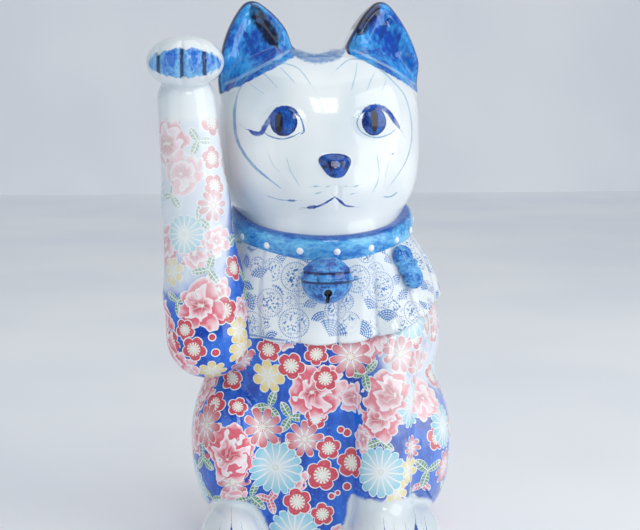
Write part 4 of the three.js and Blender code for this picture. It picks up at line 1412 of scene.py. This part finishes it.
def white_glaze(name):
    f = Finish(name)
    colour = porcelain(f)
    # The nose is painted in deep cobalt, brushed between two tones.
    nose, _, _ = f.kept("nose")
    nose_blue = f.wash(paint(4, 18, 72), paint(28, 92, 188), 0.34)
    colour = f.mix(f.ease(nose, -0.1, 0.25, 1.0, 0.0), colour, nose_blue)
    # The eyes: a brushed iris that darkens towards its rim, and a dark upright pupil.
    eye_x, eye_z, side = f.kept("eye")
    wobble = f.math("MULTIPLY_ADD", f.noise(0.8, 2.0), 0.5, -0.25)
    across = f.over(eye_x, EYE_RADIUS)
    up = f.over(eye_z, EYE_RADIUS * 1.06)
    away = f.length(across, up)
    away_mm = f.plus(f.times(away, EYE_RADIUS), wobble)
    iris = f.wash(paint(4, 28, 106), paint(32, 106, 202), 0.34, (1.0, 1.0, 0.5))
    iris = f.mix(f.ease(away, 0.72, 0.98, 0.0, 0.8), iris, NAVY)
    slit = f.over(f.plus(eye_x, f.math("MULTIPLY_ADD", side, -0.9, 0.9)), 1.5)
    tall = f.over(eye_z, 4.4)
    pupil = f.length(slit, tall)
    iris = f.mix(f.ease(pupil, 0.75, 1.15, 1.0, 0.0), iris, paint(4, 10, 40))
    colour = f.mix(f.ease(away_mm, EYE_RADIUS - 0.25, EYE_RADIUS, 1.0, 0.0), colour, iris)
    # The ears' hollows are brushed with cobalt up to a dark rim, and a little below the fold.
    edge, over, ahead = f.kept("ear")
    ragged = f.math("MULTIPLY_ADD", f.noise(0.5, 2.0), 1.6, -0.8)
    hollow = f.ease(f.plus(over, ragged), -3.2, -2.6)
    inside = f.ease(edge, 0.3, 0.7, 1.0, 0.0)
    ear_front = f.ease(ahead, 0.4, 1.2)
    ear_blue = f.wash(paint(8, 66, 172), paint(64, 166, 238), 0.12, (1.0, 1.0, 0.5))
    rim = f.ease(f.plus(edge, f.times(ragged, 0.3)), -1.0, -0.4)
    ear_blue = f.mix(rim, ear_blue, paint(8, 24, 84))
    # A pale line along the fold, where the hollow meets the head, is a painted highlight.
    fold = f.ease(f.unsigned(f.plus(over, 0.4)), 0.2, 0.8, 0.4, 0.0)
    fold = f.times(fold, f.ease(edge, -3.0, -1.0, 1.0, 0.0))
    ear_blue = f.mix(fold, ear_blue, paint(190, 220, 244))
    painted = f.times(f.times(hollow, inside), ear_front)
    colour = f.mix(painted, colour, ear_blue)
    return f.finish(draw_strokes(f, colour))


# %% The printed bib


def bib_glaze(name):
    f = Finish(name)
    colour = porcelain(f)
    for layer in reversed(range(LAYERS)):
        x, y, radius = f.kept(f"flower_place_{layer}")
        kind, _, _ = f.kept(f"flower_form_{layer}")
        away = f.length(x, y)
        angle = f.math("ARCTAN2", y, x)
        around = f.math("SINE", f.times(angle, f.times(radius, 8.0)))
        beads = f.ease(around, -0.3, 0.3)
        off_ring = f.times(f.unsigned(f.minus(away, 0.88)), radius)
        dotted_ring = f.times(f.ease(off_ring, 0.16, 0.34, 1.0, 0.0), beads)
        ribs = f.ease(f.math("COSINE", f.times(angle, 22.0)), 0.0, 0.5)
        arcs = f.ease(f.math("SINE", f.times(f.times(away, radius), 7.5)), -0.1, 0.4)
        opened = f.ease(f.unsigned(angle), 1.0, 1.1, 1.0, 0.0)
        fan = f.times(f.math("MAXIMUM", f.times(ribs, 0.8), arcs), opened)
        fan = f.times(fan, f.ease(away, 0.94, 0.98, 1.0, 0.0))
        sprig = f.ease(f.noise(1.3, 3.0), 0.51, 0.57)
        sprig = f.times(sprig, f.ease(away, 0.5, 0.9, 1.0, 0.0))
        is_fan = f.ease(kind, 1.4, 1.6)
        print_here = f.blend(is_fan, f.math("MAXIMUM", dotted_ring, sprig), fan)
        within = f.ease(away, 0.98, 1.02, 1.0, 0.0)
        strength = f.times(within, f.ease(f.noise(0.14, 2.0), 0.3, 0.6, 0.6, 1.0))
        colour = f.mix(f.times(within, 0.85), colour, porcelain(f))
        colour = f.mix(f.times(print_here, strength), colour, paint(40, 116, 192))
    hem, fold, _ = f.kept("hem")
    off_hem = f.unsigned(f.minus(hem, 0.8))
    line = f.times(f.ease(off_hem, 0.2, 0.6, 0.8, 0.0), f.ease(f.noise(0.06, 2.0), 0.46, 0.6))
    colour = f.mix(line, colour, paint(52, 104, 178))
    # The pleats' creases are darkened grey-blue: painted shade.
    colour = f.mix(f.ease(fold, 0.0, 0.45, 0.6, 0.0), colour, paint(170, 186, 210))
    return f.finish(colour)


# %% Collar, bell, bow and enamel


def collar_glaze(name):
    f = Finish(name)
    blue = f.wash(paint(26, 116, 204), paint(116, 200, 242), 0.1, (1.0, 1.0, 2.2))
    normal = (0.0, -math.sin(TILT), math.cos(TILT))
    away = f.away_from(COLLAR_MIDDLE)
    up = f.node("ShaderNodeVectorMath", {0: away, 1: normal}, output=1, operation="DOT_PRODUCT")
    edge = f.plus(f.unsigned(up), f.math("MULTIPLY_ADD", f.noise(0.25, 2.0), 1.6, -0.8))
    blue = f.mix(f.ease(edge, 3.6, 5.0, 0.0, 0.8), blue, paint(16, 58, 160))
    pooled = f.times(f.ease(f.noise(0.16, 2.0), 0.62, 0.7), f.ease(up, -4.5, -2.0, 0.8, 0.0))
    blue = f.mix(pooled, blue, NAVY)
    specks = f.ease(f.noise(2.2, 2.0), 0.62, 0.7, 0.0, 0.3)
    return f.finish(f.mix(specks, blue, SKY), f.noise(0.8, 2.0), 0.05)


def sprig_glaze(name, deep, thin):
    """Cobalt brushed over a small raised sprig."""
    f = Finish(name)
    blue = f.wash(deep, thin, 0.22, (1.0, 1.0, 1.6))
    pooled = f.ease(f.noise(0.5, 2.0), 0.6, 0.7, 0.0, 0.7)
    return f, f.mix(pooled, blue, NAVY)


def bell_glaze(name):
    f, blue = sprig_glaze(name, paint(12, 62, 156), paint(86, 166, 230))
    away = f.away_from(BELL_MIDDLE)
    x, y, z = f.parts(away)
    for line in BELL_LINES:
        off = f.unsigned(f.minus(z, line - 0.9))
        blue = f.mix(f.ease(off, 0.25, 0.7, 0.9, 0.0), blue, NAVY)
    up = f.minus(z, BELL_MOUTH)
    hole = f.length(x, up)
    front = f.ease(y, -3.0, -2.0, 1.0, 0.0)
    lip = f.times(f.ease(f.unsigned(f.minus(hole, 1.8)), 0.15, 0.5, 0.35, 0.0), front)
    blue = f.mix(lip, blue, SKY)
    # The mouth and the slot are painted near black: painted shade in the openings.
    slot = f.math("MAXIMUM", f.unsigned(x), f.times(f.ease(up, -0.5, 0.2), 9.0))
    dark = f.math("MINIMUM", f.minus(hole, 0.75), slot)
    return f.finish(f.mix(f.times(f.ease(dark, 0.55, 0.8, 1.0, 0.0), front), blue, paint(4, 10, 44)))


def bow_glaze(name):
    f, blue = sprig_glaze(name, paint(28, 100, 190), paint(104, 182, 236))
    # Each loop's eye is darkened with navy: painted shade in its opening.
    for way in (-1, 1):
        middle = KNOT_MIDDLE + BOW_ALONG * way * (LOOP_REACH + 0.4)
        away = f.away_from(middle)
        gap = f.node("ShaderNodeVectorMath", {0: away}, output=1, operation="LENGTH")
        blue = f.mix(f.ease(gap, 0.7, 1.8, 0.85, 0.0), blue, NAVY)
    return f.finish(blue)


def enamel_white(name):
    f = Finish(name, 0.15)
    return f.finish(f.mix(f.ease(f.noise(0.8, 2.0), 0.4, 0.7), paint(250, 252, 255), paint(226, 234, 246)))


# %% Print the bib
BIB_KINDS = {
    "ring": (1, 0, 0, 0, SKY, 0),
    "fan": (2, 0, 0, 0, SKY, 0),
}
BIB_PRINT = [
    ("ring", -11.5, 108, 6.0), ("ring", -21, 98.5, 5.8), ("ring", -12.5, 91.5, 6.2), ("fan", -24, 107, 4.6),
    ("fan", 0.5, 86.5, 7.0), ("fan", -20, 101, 4.4), ("ring", 11, 107, 5.6), ("fan", 11.5, 87.5, 5.4),
    ("ring", 20, 104, 6.0), ("fan", 22, 91, 4.8), ("ring", 33, 93, 5.6), ("fan", 30, 98.5, 4.4),
    ("ring", 3, 96, 4.4), ("fan", 15, 96, 4.4), ("ring", 20, 92, 4.8), ("ring", -28, 90, 5.0),
    ("fan", -2, 91, 4.8), ("fan", -17, 92, 4.4), ("ring", -4, 104, 4.6), ("fan", 27, 104, 4.2),
    ("ring", 27, 89, 4.6), ("fan", -9, 87.5, 4.0), ("ring", -20, 110, 4.6), ("fan", -30, 98, 4.6),
    ("fan", -5, 96.5, 4.0), ("fan", 36.5, 101, 4.6), ("ring", 8, 91, 4.6), ("fan", -16, 113, 3.8),
]


def lay_print(points, normals):
    laid = []
    chosen = [(front_place(points, normals, x, z), kind, radius) for kind, x, z, radius in BIB_PRINT]
    for index in np.random.default_rng(3).permutation(len(points))[:3000]:
        gap = reach(points[[place for place, _, _ in chosen]] - points[index])
        if gap.min() > 4.4:
            chosen.append((int(index), ("ring", "fan")[len(chosen) % 2], 3.6))
    for number, (index, kind, radius) in enumerate(chosen):
        normal = normals[index]
        side = np.cross((0.0, 0.0, 1.0), normal)
        side = side / np.linalg.norm(side)
        rise = np.cross(normal, side)
        spin = 1.2 + 0.9 * math.sin(number * 2.4)
        laid.append((points[index], normal, turned(side, rise, spin), radius, kind))
    return laid


print_flowers(pieces["bib"], lay_print(bib_skin[0], bib_skin[2]), BIB_KINDS)
bib_points = bib_skin[0]
over_hem = bib_points[:, 2] - hem_height(bib_points[:, 0])
point_attribute(pieces["bib"].data, "hem", np.stack([over_hem, pleat(bib_points), over_hem], -1))

# %% Give every piece its glaze
finishes = {
    "flowered_glaze": flowered_glaze("flowered_glaze"),
    "flowered_arm_glaze": flowered_glaze("flowered_arm_glaze"),
    "paw_glaze": flowered_glaze("paw_glaze"),
    "foot_glaze": flowered_glaze("foot_glaze"),
    "white_glaze": white_glaze("white_glaze"),
    "cobalt_glaze": white_glaze("cobalt_glaze"),
    "bib_glaze": bib_glaze("bib_glaze"),
    "bell_glaze": bell_glaze("bell_glaze"),
    "bow_glaze": bow_glaze("bow_glaze"),
    "collar_glaze": collar_glaze("collar_glaze"),
    "enamel_white": enamel_white("enamel_white"),
}
SLOTS = {
    "torso": "flowered_glaze", "left_foreleg": "flowered_glaze", "left_haunch": "flowered_glaze",
    "right_haunch": "flowered_glaze", "tail": "flowered_glaze", "raised_arm": "flowered_arm_glaze",
    "raised_paw": "paw_glaze", "left_hind_foot": "foot_glaze", "right_hind_foot": "foot_glaze",
    "head": "white_glaze", "left_ear": "cobalt_glaze", "right_ear": "cobalt_glaze",
    "bib": "bib_glaze", "bell": "bell_glaze", "bow_knot": "bow_glaze",
    "bow_upper_loop": "bow_glaze", "bow_lower_loop": "bow_glaze", "collar": "collar_glaze",
}
pieces["collar"] = made_by(collar_tree, "collar_band", {"Material": finishes["collar_glaze"]})
dots = made_by(dot_tree, "enamel_dots", {"Material": finishes["enamel_white"]})
for node, piece in pieces.items():
    slot = SLOTS[node]
    if node != "collar":
        piece.data.materials.append(finishes[slot])
    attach(piece, "root")
    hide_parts(node)
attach(dots, "root")
for piece in [*pieces.values(), dots]:
    print(piece.name, len(piece.data.polygons), "faces", [round(d / MM, 1) for d in piece.dimensions])

# %% [markdown]
# ## Camera, room and light
# A glossy glaze shows the room more than it shows itself. A small window of four panes makes the
# sharp highlights, a large one at the right makes the broad soft one, and a pale wall, ceiling and
# world fill the rest. The camera looks down a little, from far enough to keep the paw, the head
# and the feet in proportion.

# %% Camera
AZIMUTH = math.radians(-4)
PITCH = math.radians(8)
DISTANCE = 560
FOCAL_LENGTH = 80.7
TARGET = Vector((0, 0, 107))
backwards = (math.sin(AZIMUTH) * math.cos(PITCH), -math.cos(AZIMUTH) * math.cos(PITCH), math.sin(PITCH))
camera = bpy.data.objects.new("camera", bpy.data.cameras.new("camera"))
bpy.context.scene.collection.objects.link(camera)
camera.location = (TARGET + Vector(backwards) * DISTANCE) * MM
camera.rotation_euler = (-Vector(backwards)).to_track_quat("-Z", "Y").to_euler()
camera.data.sensor_width = 36
camera.data.lens = FOCAL_LENGTH
camera.data.clip_start = 0.01
bpy.context.scene.camera = camera

# %% Light


def soft_light(name, place, size, power, colour=(1, 1, 1)):
    """A rectangular light that faces the figure."""
    data = bpy.data.lights.new(name, "AREA")
    data.shape = "RECTANGLE"
    data.size, data.size_y = size
    data.energy = power
    data.color = colour
    light = bpy.data.objects.new(name, data)
    bpy.context.scene.collection.objects.link(light)
    light.location = place
    light.rotation_euler = (Vector((0, 0, 0.11)) - Vector(place)).to_track_quat("-Z", "Y").to_euler()


for column in (0, 1):
    for row in (0, 1):
        pane = (0.05 + 0.13 * column, -0.78 + 0.03 * column, 0.58 + 0.17 * row)
        soft_light(f"window_pane_{column}_{row}", pane, (0.11, 0.15), 0.3, (1.0, 0.99, 0.965))
soft_light("right_window", (0.85, -0.50, 0.42), (0.9, 1.1), 7.5, (1.0, 0.99, 0.97))
soft_light("left_wall", (-0.85, -0.60, 0.40), (0.7, 0.9), 2.0, (0.94, 0.975, 1.0))
soft_light("ceiling", (0.1, 0.1, 1.1), (0.9, 0.9), 2.6)
world = bpy.data.worlds.new("room")
bpy.context.scene.world = world
world.use_nodes = True
world.node_tree.nodes["Background"].inputs["Color"].default_value = (0.90, 0.96, 1.0, 1)
world.node_tree.nodes["Background"].inputs["Strength"].default_value = 0.34

# %% Floor and wall
FLOOR_REACH = 1600.0
WALL_BACK = 1500.0  # how far the wall is behind the figure
floor_corners = [(-1, -1), (1, -1), (1, 1), (-1, 1)]
floor_points = np.array([(x * FLOOR_REACH, y * FLOOR_REACH, 0.0) for x, y in floor_corners])
wall_places = [(-1, 0), (1, 0), (1, 1), (-1, 1)]
wall_points = np.array([(x * FLOOR_REACH, WALL_BACK, z * FLOOR_REACH) for x, z in wall_places])
pale = Finish("pale_room", 0.7)
patches = pale.ease(pale.noise(0.004, 2.0), 0.3, 0.7)
room_colour = pale.mix(patches, paint(226, 228, 232), paint(214, 218, 226))
pale.shader.inputs["Coat Weight"].default_value = 0.0
pale.shader.inputs["Emission Color"].default_value = paint(226, 230, 236)
pale.shader.inputs["Emission Strength"].default_value = 0.2
pale.finish(room_colour)
for name, corner_points in (("floor", floor_points), ("wall", wall_points)):
    surface = mesh_piece(name, corner_points, np.array([[0, 1, 2, 3]]))
    surface.data.materials.append(pale.material)
bpy.context.scene.view_settings.view_transform = "Standard"
